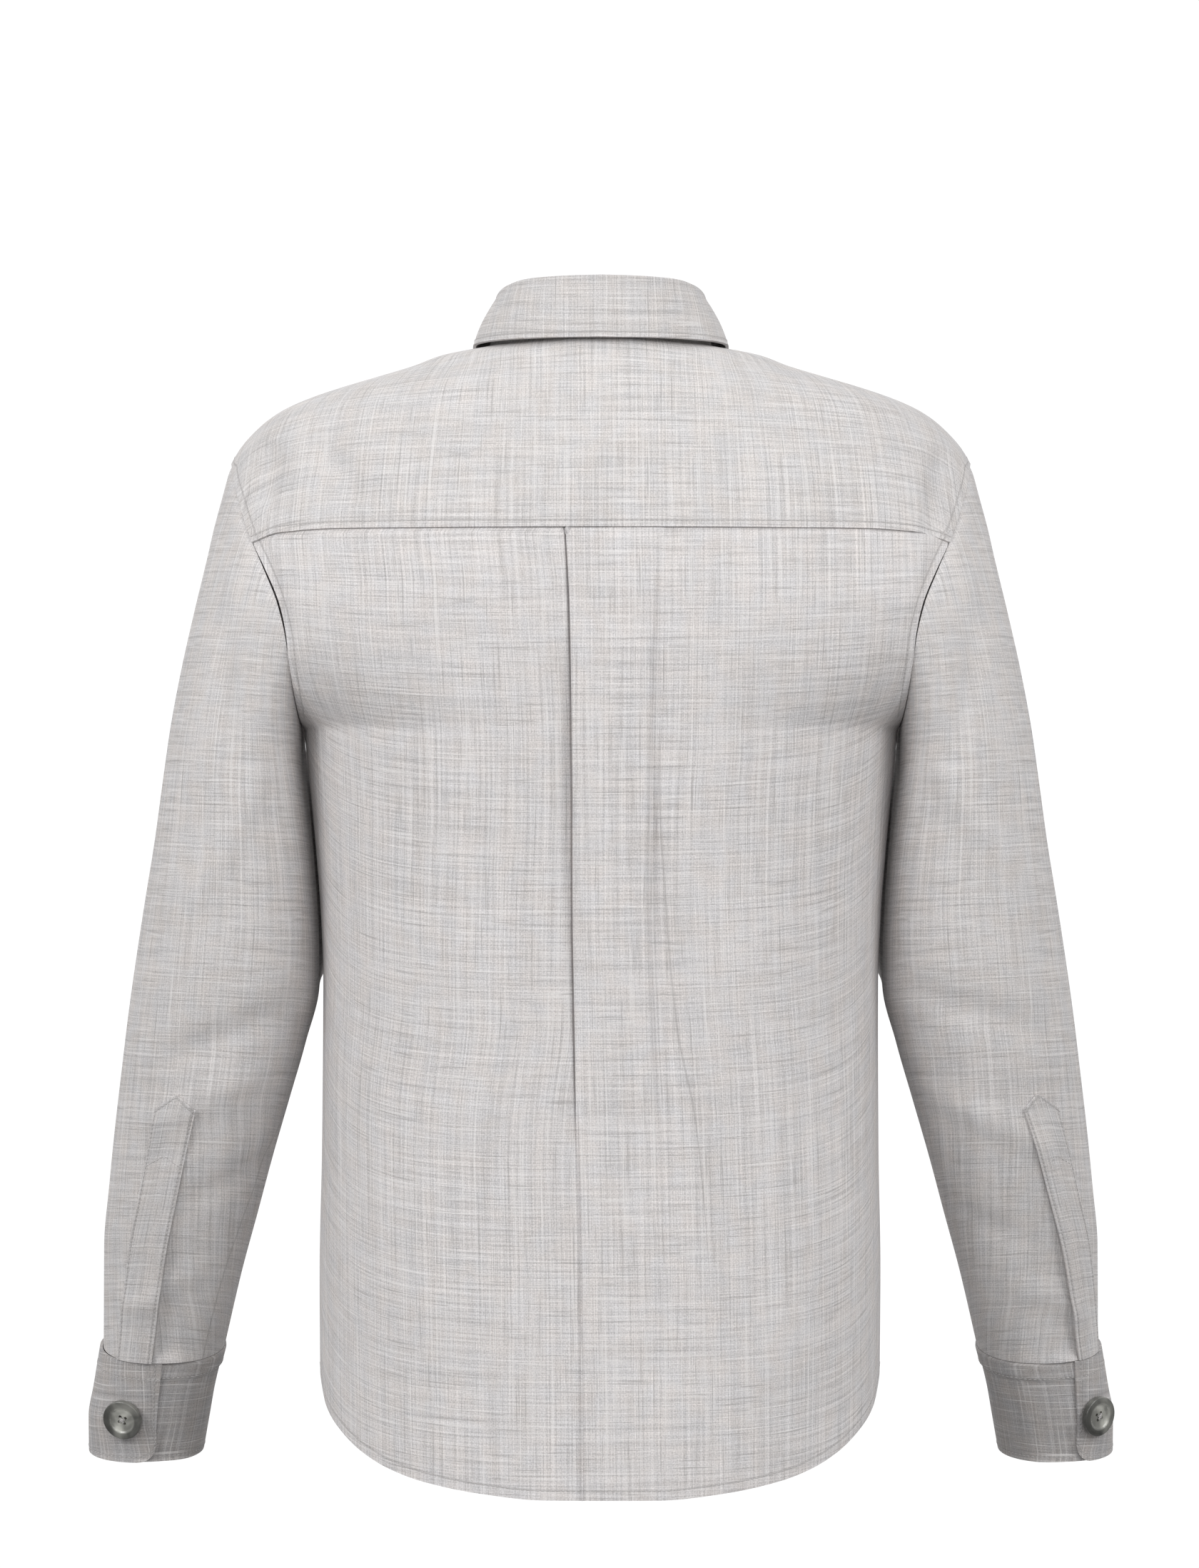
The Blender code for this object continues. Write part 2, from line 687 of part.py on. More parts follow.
def sleeve_point(side, angle, z, out):
    """A point over the lower sleeve, at an angle from its outer edge towards the back."""
    turn = math.radians(angle)
    outer = SLEEVE_OUTER["x"](z)
    inner = SLEEVE_INNER["x"](z)
    centre = (outer + inner) / 2 + SEAM_GAP
    power = SLEEVE_SQUARENESS
    along = math.copysign(abs(math.cos(turn)) ** (2 / power), math.cos(turn))
    across = math.copysign(abs(math.sin(turn)) ** (2 / power), math.sin(turn))
    y = (SLEEVE_SHAPE["back"](z) + out) * across
    x = centre + ((outer - inner) / 2 + out) * along
    return swing((MIRROR[side] * x, y, z - SLEEVE_SHAPE["tilt"](z) * y))


def make_placket(side, cloth):
    """The pointed strip that covers the sleeve's opening, above the cuff."""
    turns = TURNS[side]
    rows = []
    end = CUFF_SEAM + SEAM_GAP
    for j in range(PLACKET_ROWS + 1):
        row = []
        for i in range(5):
            share = i / 4
            peak = mix(PLACKET_SHOULDER, PLACKET_PEAK, 1 - abs(2 * share - 1))
            z = mix(peak, end, j / PLACKET_ROWS)
            down = (z - PLACKET_PEAK) / (end - PLACKET_PEAK)
            free = mix(turns["placket_top"], turns["placket_end"], down)
            radius = (SLEEVE_OUTER["x"](z) - SLEEVE_INNER["x"](z)) / 4 + SLEEVE_SHAPE["back"](z) / 2
            angle = free - math.degrees(PLACKET_WIDTH * share / radius)
            row.append(sleeve_point(side, angle, z, PLACKET_PROUD))
        rows.append(row)
    return build_mesh(f"placket_{side}", rows, sleeve_core(side), CLOTH, cloth)


def cuff_point(side, angle, z, out):
    turn = math.radians(angle)
    outer = CUFF_SHAPE["outer"](z)
    inner = CUFF_SHAPE["inner"](z)
    power = SLEEVE_SQUARENESS
    along = math.copysign(abs(math.cos(turn)) ** (2 / power), math.cos(turn))
    across = math.copysign(abs(math.sin(turn)) ** (2 / power), math.sin(turn))
    y = (CUFF_SHAPE["depth"](z) + out) * across
    x = (outer + inner) / 2 + ((outer - inner) / 2 + out) * along
    return swing((MIRROR[side] * x, y, z - CUFF_SHAPE["tilt"](z) * y))


def make_cuff(side, cloth):
    """The cuff runs from its lapping edge round the outside and front to the end under the lap."""
    turns = TURNS[side]
    around = 360 + math.degrees(CUFF_UNDERLAP / CUFF_RADIUS)
    top = CUFF_SEAM - SEAM_GAP / 2
    rows = []
    for j in range(CUFF_ROWS + 1):
        down = j / CUFF_ROWS
        lap = mix(turns["lap_top"], turns["lap_end"], down)
        row = []
        for i in range(CUFF_SEGMENTS + 1):
            gone = around * (i / CUFF_SEGMENTS) ** 1.25
            from_edge = math.radians(gone) * CUFF_RADIUS
            corner = max(0.0, CUFF_CORNER - from_edge)
            end = CUFF_END + CUFF_CORNER - math.sqrt(CUFF_CORNER**2 - corner**2)
            under = min(1.0, max(0.0, (gone - 325) / 25))
            row.append(cuff_point(side, lap - gone, mix(top, end, down), -2.4 * under))
        rows.append(row)
    return build_mesh(f"cuff_{side}", rows, cuff_core(side), DOUBLE_CLOTH, cloth)


def cuff_core(side):
    return lambda point: swing((MIRROR[side] * 264, 0, point[2]))


# Buttons


def button_mesh(material):
    """A turned disc with a round rim, a dished middle and four thread holes."""
    radius = BUTTON_DIAMETER / 2
    dish = BUTTON_DISH / 2
    top = BUTTON_THICKNESS
    profile = (
        (0, top - 1.1), (dish - 0.6, top - 0.9), (dish + 1.0, top),
        (radius - 0.9, top - 0.3), (radius, top - 1.6), (radius - 1.4, 0), (0, 0),
    )
    bm = bmesh.new()
    verts = [bm.verts.new(Vector((r, 0, z)) * MM) for r, z in profile]
    edges = [bm.edges.new(pair) for pair in zip(verts, verts[1:])]
    bmesh.ops.spin(
        bm, geom=verts + edges, cent=(0, 0, 0), axis=(0, 0, 1), angle=2 * math.pi, steps=BUTTON_SEGMENTS
    )
    bmesh.ops.remove_doubles(bm, verts=bm.verts, dist=1e-6)
    bmesh.ops.recalc_face_normals(bm, faces=bm.faces)
    for face in bm.faces:
        face.smooth = True
    blank = bpy.data.meshes.new("button_blank")
    bm.to_mesh(blank)
    bm.free()
    disc = bpy.data.objects.new("button_disc", blank)
    bpy.context.scene.collection.objects.link(disc)
    drill = bmesh.new()
    for i in range(4):
        turn = math.pi * (0.25 + i / 2)
        place = Vector((math.cos(turn), math.sin(turn), 0)) * BUTTON_HOLE_SPREAD / math.sqrt(2) * MM
        bmesh.ops.create_cone(
            drill,
            cap_ends=True,
            segments=6,
            radius1=BUTTON_HOLE / 2 * MM,
            radius2=BUTTON_HOLE / 2 * MM,
            depth=4 * BUTTON_THICKNESS * MM,
            matrix=Matrix.Translation(place),
        )
    drill_mesh = bpy.data.meshes.new("button_drill")
    drill.to_mesh(drill_mesh)
    drill.free()
    cutter = bpy.data.objects.new("button_drill", drill_mesh)
    bpy.context.scene.collection.objects.link(cutter)
    holes = disc.modifiers.new("holes", "BOOLEAN")
    holes.object = cutter
    bpy.context.view_layer.update()
    finished = bpy.data.meshes.new_from_object(disc.evaluated_get(bpy.context.evaluated_depsgraph_get()))
    finished.name = "button"
    finished.materials.clear()
    finished.materials.append(material)
    for helper in (disc, cutter):
        bpy.data.objects.remove(helper)
    return finished


def place_button(name, mesh, seat, outward, down):
    """Sets a button on the cloth, its holes square to the down direction."""
    z_axis = Vector(outward).normalized()
    x_axis = Vector(down).cross(z_axis).normalized()
    y_axis = z_axis.cross(x_axis)
    matrix = Matrix((x_axis, y_axis, z_axis)).transposed().to_4x4()
    matrix.translation = (Vector(seat) + z_axis * SEAM_GAP) * MM
    button = bpy.data.objects.new(name, mesh.copy())
    button.matrix_world = matrix
    bpy.context.scene.collection.objects.link(button)


def make_buttons(horn):
    mesh = button_mesh(horn)
    for i in range(FRONT_BUTTONS):
        z = FIRST_BUTTON - BUTTON_SPACING * i
        seat = body_point(0, z, -1, BAND_PROUD + BUTTON_LIFT)
        above = body_point(0, z + 5, -1, BAND_PROUD)
        below = body_point(0, z - 5, -1, BAND_PROUD)
        down = below - above
        outward = Vector((0, -1, 0)) - down.normalized() * down.normalized().dot(Vector((0, -1, 0)))
        place_button(f"button_front_{i + 1}", mesh, seat, outward, down)
    for side, turns in TURNS.items():
        z = CUFF_BUTTON
        seat = cuff_point(side, turns["button"], z, 0.3)
        ahead = cuff_point(side, turns["button"] + 4, z, 0)
        behind = cuff_point(side, turns["button"] - 4, z, 0)
        down = cuff_point(side, turns["button"], z - 5, 0) - cuff_point(side, turns["button"], z + 5, 0)
        outward = (ahead - behind).cross(down) * MIRROR[side]
        if outward.y < 0:
            outward = -outward
        place_button(f"button_cuff_{side}", mesh, seat, outward, down)


def main():
    for old in list(bpy.data.objects):
        bpy.data.objects.remove(old)
    body_cloth = make_material("body_cloth", (0.61, 0.59, 0.585), 0.9)
    yoke_cloth = make_material("yoke_cloth", (0.66, 0.63, 0.62), 0.9)
    collar_cloth = make_material("collar_cloth", (0.63, 0.6, 0.59), 0.9)
    sleeve_cloth = make_material("sleeve_cloth", (0.58, 0.56, 0.55), 0.9)
    cuff_cloth = make_material("cuff_cloth", (0.5, 0.48, 0.47), 0.9)
    horn = make_material("button_horn", (0.33, 0.32, 0.29), 0.25)
    make_back(body_cloth)
    make_fronts(body_cloth)
    make_yoke(yoke_cloth)
    make_stand(collar_cloth)
    make_leaf(collar_cloth)
    for side in MIRROR:
        make_sleeve(side, sleeve_cloth)
        make_placket(side, sleeve_cloth)
        make_cuff(side, cuff_cloth)
    make_buttons(horn)


main()
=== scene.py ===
# %% [markdown]
# # An overshirt, seen from behind
# The real object is a long-sleeved overshirt of slubbed grey cloth. It is sewn from flat pieces and
# keeps the hollow form of a wearer: neck, cuffs and hem are open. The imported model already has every
# piece at its true size, so this script starts from that frame and gives each piece its drape,
# sewing and cloth.

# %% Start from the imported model
import math

import bpy
import numpy as np
from mathutils import Matrix, Vector


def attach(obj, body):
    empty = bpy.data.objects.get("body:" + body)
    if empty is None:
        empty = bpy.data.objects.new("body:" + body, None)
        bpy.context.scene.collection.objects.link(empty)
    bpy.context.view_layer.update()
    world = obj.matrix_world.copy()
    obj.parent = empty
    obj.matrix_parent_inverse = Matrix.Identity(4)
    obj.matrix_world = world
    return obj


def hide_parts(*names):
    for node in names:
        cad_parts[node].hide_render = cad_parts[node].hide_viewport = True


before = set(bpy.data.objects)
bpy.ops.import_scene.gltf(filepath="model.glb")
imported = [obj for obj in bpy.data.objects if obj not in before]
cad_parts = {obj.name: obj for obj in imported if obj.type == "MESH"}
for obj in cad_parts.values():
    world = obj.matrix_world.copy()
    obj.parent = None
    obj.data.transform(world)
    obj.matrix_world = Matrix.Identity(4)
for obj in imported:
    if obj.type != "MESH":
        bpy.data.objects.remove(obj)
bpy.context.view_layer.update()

# %% [markdown]
# ## The camera
# The photograph was taken straight from behind, from a few metres away, so upright edges stay
# upright. A long lens at 3.5 m gives the same flat view. The picture is 1680 by 2197, and its height
# covers 0.92 m of the garment.

# %% Set up the camera
CAMERA_AWAY = 3.5
PICTURE_HEIGHT = 0.92274
bpy.ops.object.camera_add(
    location=(0.0008, CAMERA_AWAY, -0.2569), rotation=(math.radians(90), 0, math.radians(180))
)
camera = bpy.context.object
camera.data.sensor_fit = "VERTICAL"
camera.data.sensor_height = 36
camera.data.lens = 36 * CAMERA_AWAY / PICTURE_HEIGHT
bpy.context.scene.camera = camera
print("the lens is", round(camera.data.lens, 1), "mm long")

# %% [markdown]
# ## Sizes in tables
# A garment changes its size slowly from top to bottom. A short table says how wide and how deep it is
# at some heights, and a smooth curve runs through the table's rows. All sizes below are in
# millimetres, with the wearer's left at +X, the back at +Y and the neck at the origin. They are
# turned into metres only when a mesh is made.

# %% A smooth curve through the rows of a table
MM = 0.001


def smooth(places, values):
    """A function through the points that never swings past them. It takes arrays too."""
    order = np.argsort(places)
    places = np.array(places, float)[order]
    values = np.array(values, float)[order]
    steps = np.diff(places)
    slopes = np.diff(values) / steps
    tangents = np.zeros_like(values)
    tangents[[0, -1]] = slopes[[0, -1]]
    before, after = slopes[:-1], slopes[1:]
    same = before * after > 0
    tangents[1:-1][same] = 2 * before[same] * after[same] / (before[same] + after[same])

    def at(place):
        place = np.clip(place, places[0], places[-1])
        i = np.clip(np.searchsorted(places, place) - 1, 0, len(steps) - 1)
        t = (place - places[i]) / steps[i]
        start = (1 + 2 * t) * (1 - t) ** 2 * values[i] + t * (1 - t) ** 2 * steps[i] * tangents[i]
        end = t * t * (3 - 2 * t) * values[i + 1] + t * t * (t - 1) * steps[i] * tangents[i + 1]
        return start + end

    return at


def table(names, *rows):
    """One smooth function for each named column after the first, which is the place."""
    columns = list(zip(*rows))
    return {name: smooth(columns[0], column) for name, column in zip(names.split()[1:], columns[1:])}


def mix(start, end, share):
    return start + (end - start) * share


def soft_step(value):
    """0 below 0, 1 above 1, with a soft turn between."""
    value = np.clip(value, 0, 1)
    return value * value * (3 - 2 * value)


# %% The body's sizes
CLOTH = 1.2
DOUBLE_CLOTH = 1.8
SHOULDER_HALF_WIDTH = 217.0
ARMPIT_HALF_WIDTH = 174.5
SEAM_GAP = 0.3
CLOSE_SEAM = 0.12  # drawn seams are closer than the solids, which keep a printable gap
ARMHOLE_TOP = -69.0
ARMHOLE_BOTTOM = -225.0
ARMHOLE_MIDDLE = (ARMHOLE_TOP + ARMHOLE_BOTTOM) / 2
ARMHOLE_HALF_HEIGHT = (ARMHOLE_TOP - ARMHOLE_BOTTOM) / 2
RIDGE = table(
    "x z",
    (0, 14), (40, 8), (66, 0), (94.5, -5.5), (111.5, -11.8), (132, -18), (153.5, -24.4),
    (172, -30.7), (186.5, -37.2), (196, -43.4), (203, -49.6), (209, -56), (213.5, -62),
    (SHOULDER_HALF_WIDTH, ARMHOLE_TOP),
)
BODY = table(
    "z back front squareness",
    (14, 45, 26, 2.0),
    (2, 62, 40, 2.05),
    (-12, 73, 47, 2.1),
    (-30, 86, 53, 2.15),
    (-60, 99, 64, 2.2),
    (-85, 107, 74, 2.25),
    (-111, 113, 90, 2.3),
    (-150, 118.5, 108, 2.3),
    (-190, 121, 121, 2.3),
    (-225, 121.5, 127, 2.3),
    (-320, 118, 128, 2.3),
    (-450, 118, 128, 2.3),
    (-600, 121, 127, 2.3),
    (-670, 123, 126, 2.3),
)
EDGE = table(
    "z x",
    (ARMHOLE_TOP, SHOULDER_HALF_WIDTH), (-91, 211), (-112, 203.5), (-135, 193.5), (-155, 185.5),
    (-175, 181), (-205, 177), (ARMHOLE_BOTTOM, ARMPIT_HALF_WIDTH), (-246, 172.5), (-272, 169.8),
    (-300, 167.3), (-330, 165), (-375, 163.3), (-470, 163.8), (-540, 165), (-600, 164.5), (-670, 163),
)
ARMHOLE = table(
    "z back front",
    (ARMHOLE_TOP, 0, 0), (-75, 24, 17), (-85, 37, 28), (-100, 52, 42), (-112, 61, 52), (-135, 75, 67),
    (-155, 83, 76), (-172, 84, 78), (-190, 79, 74), (-205, 67, 63), (-216, 48, 46), (-222, 27, 26),
    (ARMHOLE_BOTTOM, 0, 0),
)
HEM = table(
    "share back front",
    (0, -664, -655), (0.2, -664, -655), (0.42, -661, -652), (0.62, -655.5, -647),
    (0.74, -649.5, -641), (0.84, -641, -633), (0.92, -630, -623), (0.97, -619, -614), (1, -601, -601),
)
YOKE_SEAM = table("x z", (0, -110.3), (150, -110.3), (185, -112), (203, -118), (SHOULDER_HALF_WIDTH, -124))

# %% [markdown]
# ## The body as a surface
# A level cut through the body is a squarish oval. Its width comes from the side seam or the armhole,
# and its depth from the table, so any point of the cloth has a place: how far across, how high, and
# back or front. Whole grids of points go through these functions at once.

# %% Points on the body
RIDGE_X = np.linspace(0, SHOULDER_HALF_WIDTH, 400)
RIDGE_Z = RIDGE["z"](RIDGE_X)


def body_depth(z, side):
    return np.where(side > 0, BODY["back"](z), BODY["front"](z))


def section_half_width(z, side):
    n = BODY["squareness"](z)
    reach = np.where(side > 0, ARMHOLE["back"](z), ARMHOLE["front"](z))
    low = EDGE["x"](z) / (1 - (reach / body_depth(z, side)) ** n) ** (1 / n)
    return np.where(z >= ARMHOLE_TOP, np.interp(-z, -RIDGE_Z, RIDGE_X), low)


def surface_y(x, z, side):
    """Depth of the body's outer face, without its sign."""
    n = BODY["squareness"](z)
    across = np.minimum(1.0, np.abs(x) / np.maximum(section_half_width(z, side), 1e-6))
    return body_depth(z, side) * (1 - across**n) ** (1 / n)


def height(x, y):
    """Height of the body's upper face over a point of the plan."""
    side = np.where(np.asarray(y) >= 0, 1, -1)
    low = np.full(np.broadcast(x, y).shape, ARMHOLE_BOTTOM)
    high = RIDGE["z"](np.abs(x)) + 0 * low
    for _ in range(34):
        middle = (low + high) / 2
        outside = surface_y(x, middle, side) > np.abs(y)
        low = np.where(outside, middle, low)
        high = np.where(outside, high, middle)
    return low


def body_point(x, z, side, out=0.0):
    """Points of the body's face, moved out along the section's own normal."""
    n = BODY["squareness"](z)
    y = surface_y(x, z, side)
    slope_x = np.abs(x) ** (n - 1) / section_half_width(z, side) ** n
    slope_y = y ** (n - 1) / body_depth(z, side) ** n
    length = np.maximum(np.hypot(slope_x, slope_y), 1e-12)
    x = x + np.sign(x) * slope_x / length * out
    return np.stack(np.broadcast_arrays(x, side * (y + slope_y / length * out), z), axis=-1)


def column_share(x, z):
    """The even spacing of a panel's columns, which close up towards its edge."""
    n = BODY["squareness"](z)
    share = np.minimum(1.0, np.abs(x) / EDGE["x"](z)) ** (n / 2)
    return np.sign(x) * np.arcsin(share) * 2 / math.pi


def column_x(share, z):
    n = BODY["squareness"](z)
    reach = EDGE["x"](z) - SEAM_GAP / 2
    return np.sign(share) * reach * np.sin(np.abs(share) * math.pi / 2) ** (2 / n)


print("the back stands", round(float(surface_y(0, -200, 1))), "mm behind the neck's middle at the armpits")

# %% [markdown]
# ## The cloth's finish
# The cloth is a plain weave of mixed light and grey yarns. The yarns are uneven: thick places, or
# slubs, show as thin pale or dark dashes along both directions of the weave, a centimetre or more
# long and under a millimetre thick. Each row of the two tables below is a noise texture that is
# stretched along one direction of the weave. All of them read the cloth's own UV map, which is laid
# out in metres, so the yarns follow each piece as they do on cut cloth. The group is built once and
# every cloth material uses it with its own colours.


# %% A node group for slubbed cloth
def new_group(name, inputs, outputs):
    """A shader node group with its sockets, and a helper that adds a node to it."""
    group = bpy.data.node_groups.new(name, "ShaderNodeTree")
    for direction, sockets in (("INPUT", inputs), ("OUTPUT", outputs)):
        for socket_name, kind in sockets:
            group.interface.new_socket(socket_name, in_out=direction, socket_type=kind)

    def add(kind, values=None, **settings):
        node = group.nodes.new(kind)
        for key, value in settings.items():
            setattr(node, key, value)
        for key, value in (values or {}).items():
            if isinstance(value, bpy.types.NodeSocket):
                group.links.new(value, node.inputs[key])
            else:
                node.inputs[key].default_value = value
        return node

    return group, add


slub_weave, add = new_group(
    "slub_weave",
    [
        ("Grain", "NodeSocketVector"), ("Seam", "NodeSocketFloat"), ("Cloth", "NodeSocketColor"),
        ("Pale Yarn", "NodeSocketColor"), ("Dark Yarn And Shade", "NodeSocketColor"),
        ("Slub Strength", "NodeSocketFloat"),
    ],
    [("Color", "NodeSocketColor"), ("Height", "NodeSocketFloat")],
)
given = add("NodeGroupInput").outputs
# Noise cells in a metre along U and V, and how much each one lightens or darkens the cloth
YARNS = (
    (900, 5, 0.46), (1700, 14, 0.34), (8, 860, 0.44), (17, 1650, 0.34), (1150, 1150, 0.62), (300, 300, 0.08),
)
# Slubs: cells in a metre along U and V, the noise level where they start, and their yarn
SLUBS = (
    (22, 720, 0.60, "Pale Yarn"), (640, 9, 0.60, "Pale Yarn"),
    (30, 900, 0.63, "Dark Yarn And Shade"), (950, 24, 0.64, "Dark Yarn And Shade"),
)


def yarn_noise(across, along, seed):
    """Noise stretched along one direction of the weave."""
    scale = {"Vector": given["Grain"], "Scale": (across, along, 1), "Location": (seed, seed, 0)}
    laid = add("ShaderNodeMapping", scale)
    values = {"Vector": laid.outputs[0], "Scale": 1.0, "Detail": 1.5}
    return add("ShaderNodeTexNoise", values, noise_dimensions="2D").outputs[0]


def math_node(operation, *inputs):
    return add("ShaderNodeMath", dict(enumerate(inputs)), operation=operation).outputs[0]


def ramp(value, low, high, start=0.0, end=1.0):
    """The value carried from one range over to another, and held at its ends."""
    values = {"Value": value, "From Min": low, "From Max": high, "To Min": start, "To Max": end}
    return add("ShaderNodeMapRange", values).outputs[0]


def blend_colour(share, first, second, blend_type="MIX"):
    values = {"Factor": share, 6: first, 7: second}
    return add("ShaderNodeMix", values, data_type="RGBA", blend_type=blend_type).outputs[2]


shade = 1 - sum(weight for _, _, weight in YARNS) / 2
for i, (across, along, weight) in enumerate(YARNS):
    shade = math_node("MULTIPLY_ADD", yarn_noise(across, along, 3.1 + 14.6 * i), weight, shade)
tone = ramp(yarn_noise(75, 60, 91.0), 0.3, 0.7, -0.009, 0.009)
hue = add("ShaderNodeCombineColor", {0: tone, 2: math_node("MULTIPLY", tone, -1.0)}).outputs[0]
colour = blend_colour(1.0, given["Cloth"], hue, "ADD")
grey = add("ShaderNodeCombineColor", {0: shade, 1: shade, 2: shade}).outputs[0]
colour = blend_colour(1.0, colour, grey, "MULTIPLY")
relief = shade
SLUB_EDGE = 0.13
for i, (across, along, level, yarn) in enumerate(SLUBS):
    noise = yarn_noise(across, along, 47.3 + 11.9 * i)
    mask = ramp(noise, level, level + SLUB_EDGE)
    colour = blend_colour(math_node("MULTIPLY", mask, given["Slub Strength"]), colour, given[yarn])
    relief = math_node("ADD" if yarn == "Pale Yarn" else "SUBTRACT", relief, mask)
# The cloth sinks at a seam, a fold or a row of stitches, and puckers a little beside it. There it is also
# darkened towards the dark yarn's colour: painted shade of the groove, slot or gap
beside = math_node("ABSOLUTE", given["Seam"])
groove_shade = ramp(beside, 0.15, 0.95, 1.0, 0.0)
near = ramp(beside, 0.5, 6.0, 1.0, 0.0)
pucker = math_node("MULTIPLY", math_node("SUBTRACT", yarn_noise(260, 260, 8.7), 0.5), near)
# Painted shade: the groove is darkened towards the dark yarn's colour
colour = blend_colour(math_node("MULTIPLY", groove_shade, 0.42), colour, given["Dark Yarn And Shade"])
relief = math_node("MULTIPLY_ADD", pucker, 3.0, math_node("MULTIPLY_ADD", groove_shade, -2.4, relief))
add("NodeGroupOutput", {"Color": colour, "Height": relief})
print("the weave group has", len(slub_weave.nodes), "nodes")


# %% [markdown]
# ## Cloth, thread and horn
# Cloth hardly shines, and has a faint sheen where fibres stand up from it. Thread is a little smoother.
# The buttons look like polished horn: smoky grey with pale clouds, and a clear gloss.


# %% Make the materials
def new_material(name, roughness):
    material = bpy.data.materials.new(name)
    material.use_nodes = True
    shader = material.node_tree.nodes["Principled BSDF"]
    shader.inputs["Roughness"].default_value = roughness
    return material, shader


def cloth_material(name, cloth, pale, dark, strength):
    material, shader = new_material(name, 0.88)
    tree = material.node_tree
    grain = tree.nodes.new("ShaderNodeUVMap")
    grain.uv_map = "grain"
    weave = tree.nodes.new("ShaderNodeGroup")
    weave.node_tree = slub_weave
    weave.inputs["Cloth"].default_value = (*cloth, 1)
    weave.inputs["Pale Yarn"].default_value = (*pale, 1)
    weave.inputs["Dark Yarn And Shade"].default_value = (*dark, 1)
    weave.inputs["Slub Strength"].default_value = strength
    bump = tree.nodes.new("ShaderNodeBump")
    bump.inputs["Strength"].default_value = 0.35
    bump.inputs["Distance"].default_value = 0.0002
    # The seam attribute tells the weave where to sink the cloth and darken it with painted shade
    seam = tree.nodes.new("ShaderNodeAttribute")
    seam.attribute_name = "seam"
    tree.links.new(grain.outputs[0], weave.inputs["Grain"])
    tree.links.new(seam.outputs["Fac"], weave.inputs["Seam"])
    tree.links.new(weave.outputs["Color"], shader.inputs["Base Color"])
    tree.links.new(weave.outputs["Height"], bump.inputs["Height"])
    tree.links.new(bump.outputs[0], shader.inputs["Normal"])
    shader.inputs["Sheen Weight"].default_value = 0.12
    shader.inputs["Sheen Roughness"].default_value = 0.5
    shader.inputs["Specular IOR Level"].default_value = 0.3
    return material


PALE = (0.80, 0.78, 0.77)
# The dark yarn's colour, which is also the colour of the painted shade in grooves and gaps
DARK_YARN_AND_SHADE = (0.34, 0.325, 0.32)
# Every piece is the same cloth. The yoke, collar, sleeves and cuffs are copies of the body's colour made
# darker with painted shade, the cuffs most of all
CLOTHS = {
    name: cloth_material(name, colour, PALE, DARK_YARN_AND_SHADE, 0.46)
    for name, colour in (
        ("body_cloth", (0.63, 0.606, 0.602)),
        ("yoke_cloth", (0.60, 0.578, 0.572)),
        ("collar_cloth", (0.57, 0.549, 0.543)),
        ("sleeve_cloth", (0.595, 0.572, 0.566)),
        ("cuff_cloth", (0.42, 0.401, 0.396)),
    )
}
thread, thread_shader = new_material("thread", 0.6)
thread_shader.inputs["Base Color"].default_value = (0.5, 0.485, 0.48, 1)
ply = thread.node_tree.nodes.new("ShaderNodeTexNoise")
ply.inputs["Scale"].default_value = 900
place = thread.node_tree.nodes.new("ShaderNodeTexCoord")
shades = thread.node_tree.nodes.new("ShaderNodeValToRGB")
shades.color_ramp.elements[0].color = (0.36, 0.35, 0.345, 1)
shades.color_ramp.elements[1].color = (0.66, 0.64, 0.63, 1)
thread.node_tree.links.new(place.outputs["Object"], ply.inputs["Vector"])
thread.node_tree.links.new(ply.outputs[0], shades.inputs[0])
thread.node_tree.links.new(shades.outputs[0], thread_shader.inputs["Base Color"])
print("cloth materials:", ", ".join(CLOTHS))


# %% Marbled horn
horn, horn_shader = new_material("button_horn", 0.16)
tree = horn.node_tree
place = tree.nodes.new("ShaderNodeTexCoord")
cloud = tree.nodes.new("ShaderNodeTexNoise")
cloud.inputs["Scale"].default_value = 48
cloud.inputs["Detail"].default_value = 3
cloud.inputs["Distortion"].default_value = 0.5
marble = tree.nodes.new("ShaderNodeValToRGB")
HORN_SHADES = (
    (0.32, (0.07, 0.07, 0.062)), (0.45, (0.17, 0.17, 0.155)),
    (0.55, (0.40, 0.40, 0.365)), (0.66, (0.66, 0.65, 0.59)),
)
for i, (at, shade) in enumerate(HORN_SHADES):
    stop = marble.color_ramp.elements[i] if i < 2 else marble.color_ramp.elements.new(at)
    stop.position = at
    stop.color = (*shade, 1)
tree.links.new(place.outputs["Object"], cloud.inputs["Vector"])
tree.links.new(cloud.outputs[0], marble.inputs[0])
# Painted shade and light: the rim attribute darkens the horn's colour on the rim as painted shade, and
# brightens it in the dish as painted light
rim = tree.nodes.new("ShaderNodeAttribute")
rim.attribute_name = "rim"
rim_painted_shade = tree.nodes.new("ShaderNodeMapRange")
rim_painted_shade.inputs["To Min"].default_value = 1.3
rim_painted_shade.inputs["To Max"].default_value = 0.42
toned = tree.nodes.new("ShaderNodeHueSaturation")
tree.links.new(rim.outputs["Fac"], rim_painted_shade.inputs["Value"])
tree.links.new(rim_painted_shade.outputs[0], toned.inputs["Value"])
tree.links.new(marble.outputs[0], toned.inputs["Color"])
tree.links.new(toned.outputs[0], horn_shader.inputs["Base Color"])
horn_shader.inputs["Coat Weight"].default_value = 0.6
horn_shader.inputs["Coat Roughness"].default_value = 0.08
print("horn has", len(marble.color_ramp.elements), "shades")

# %% [markdown]
# ## From a grid of points to a piece of cloth
# Each piece is laid out as a grid of rows and columns. The grid gives everything that cloth needs: the
# mesh, the UV map in metres that the yarns follow, and lines at an even distance from an edge, where a
# sewing machine would run. Solidify then gives the sheet its thickness towards the inside.


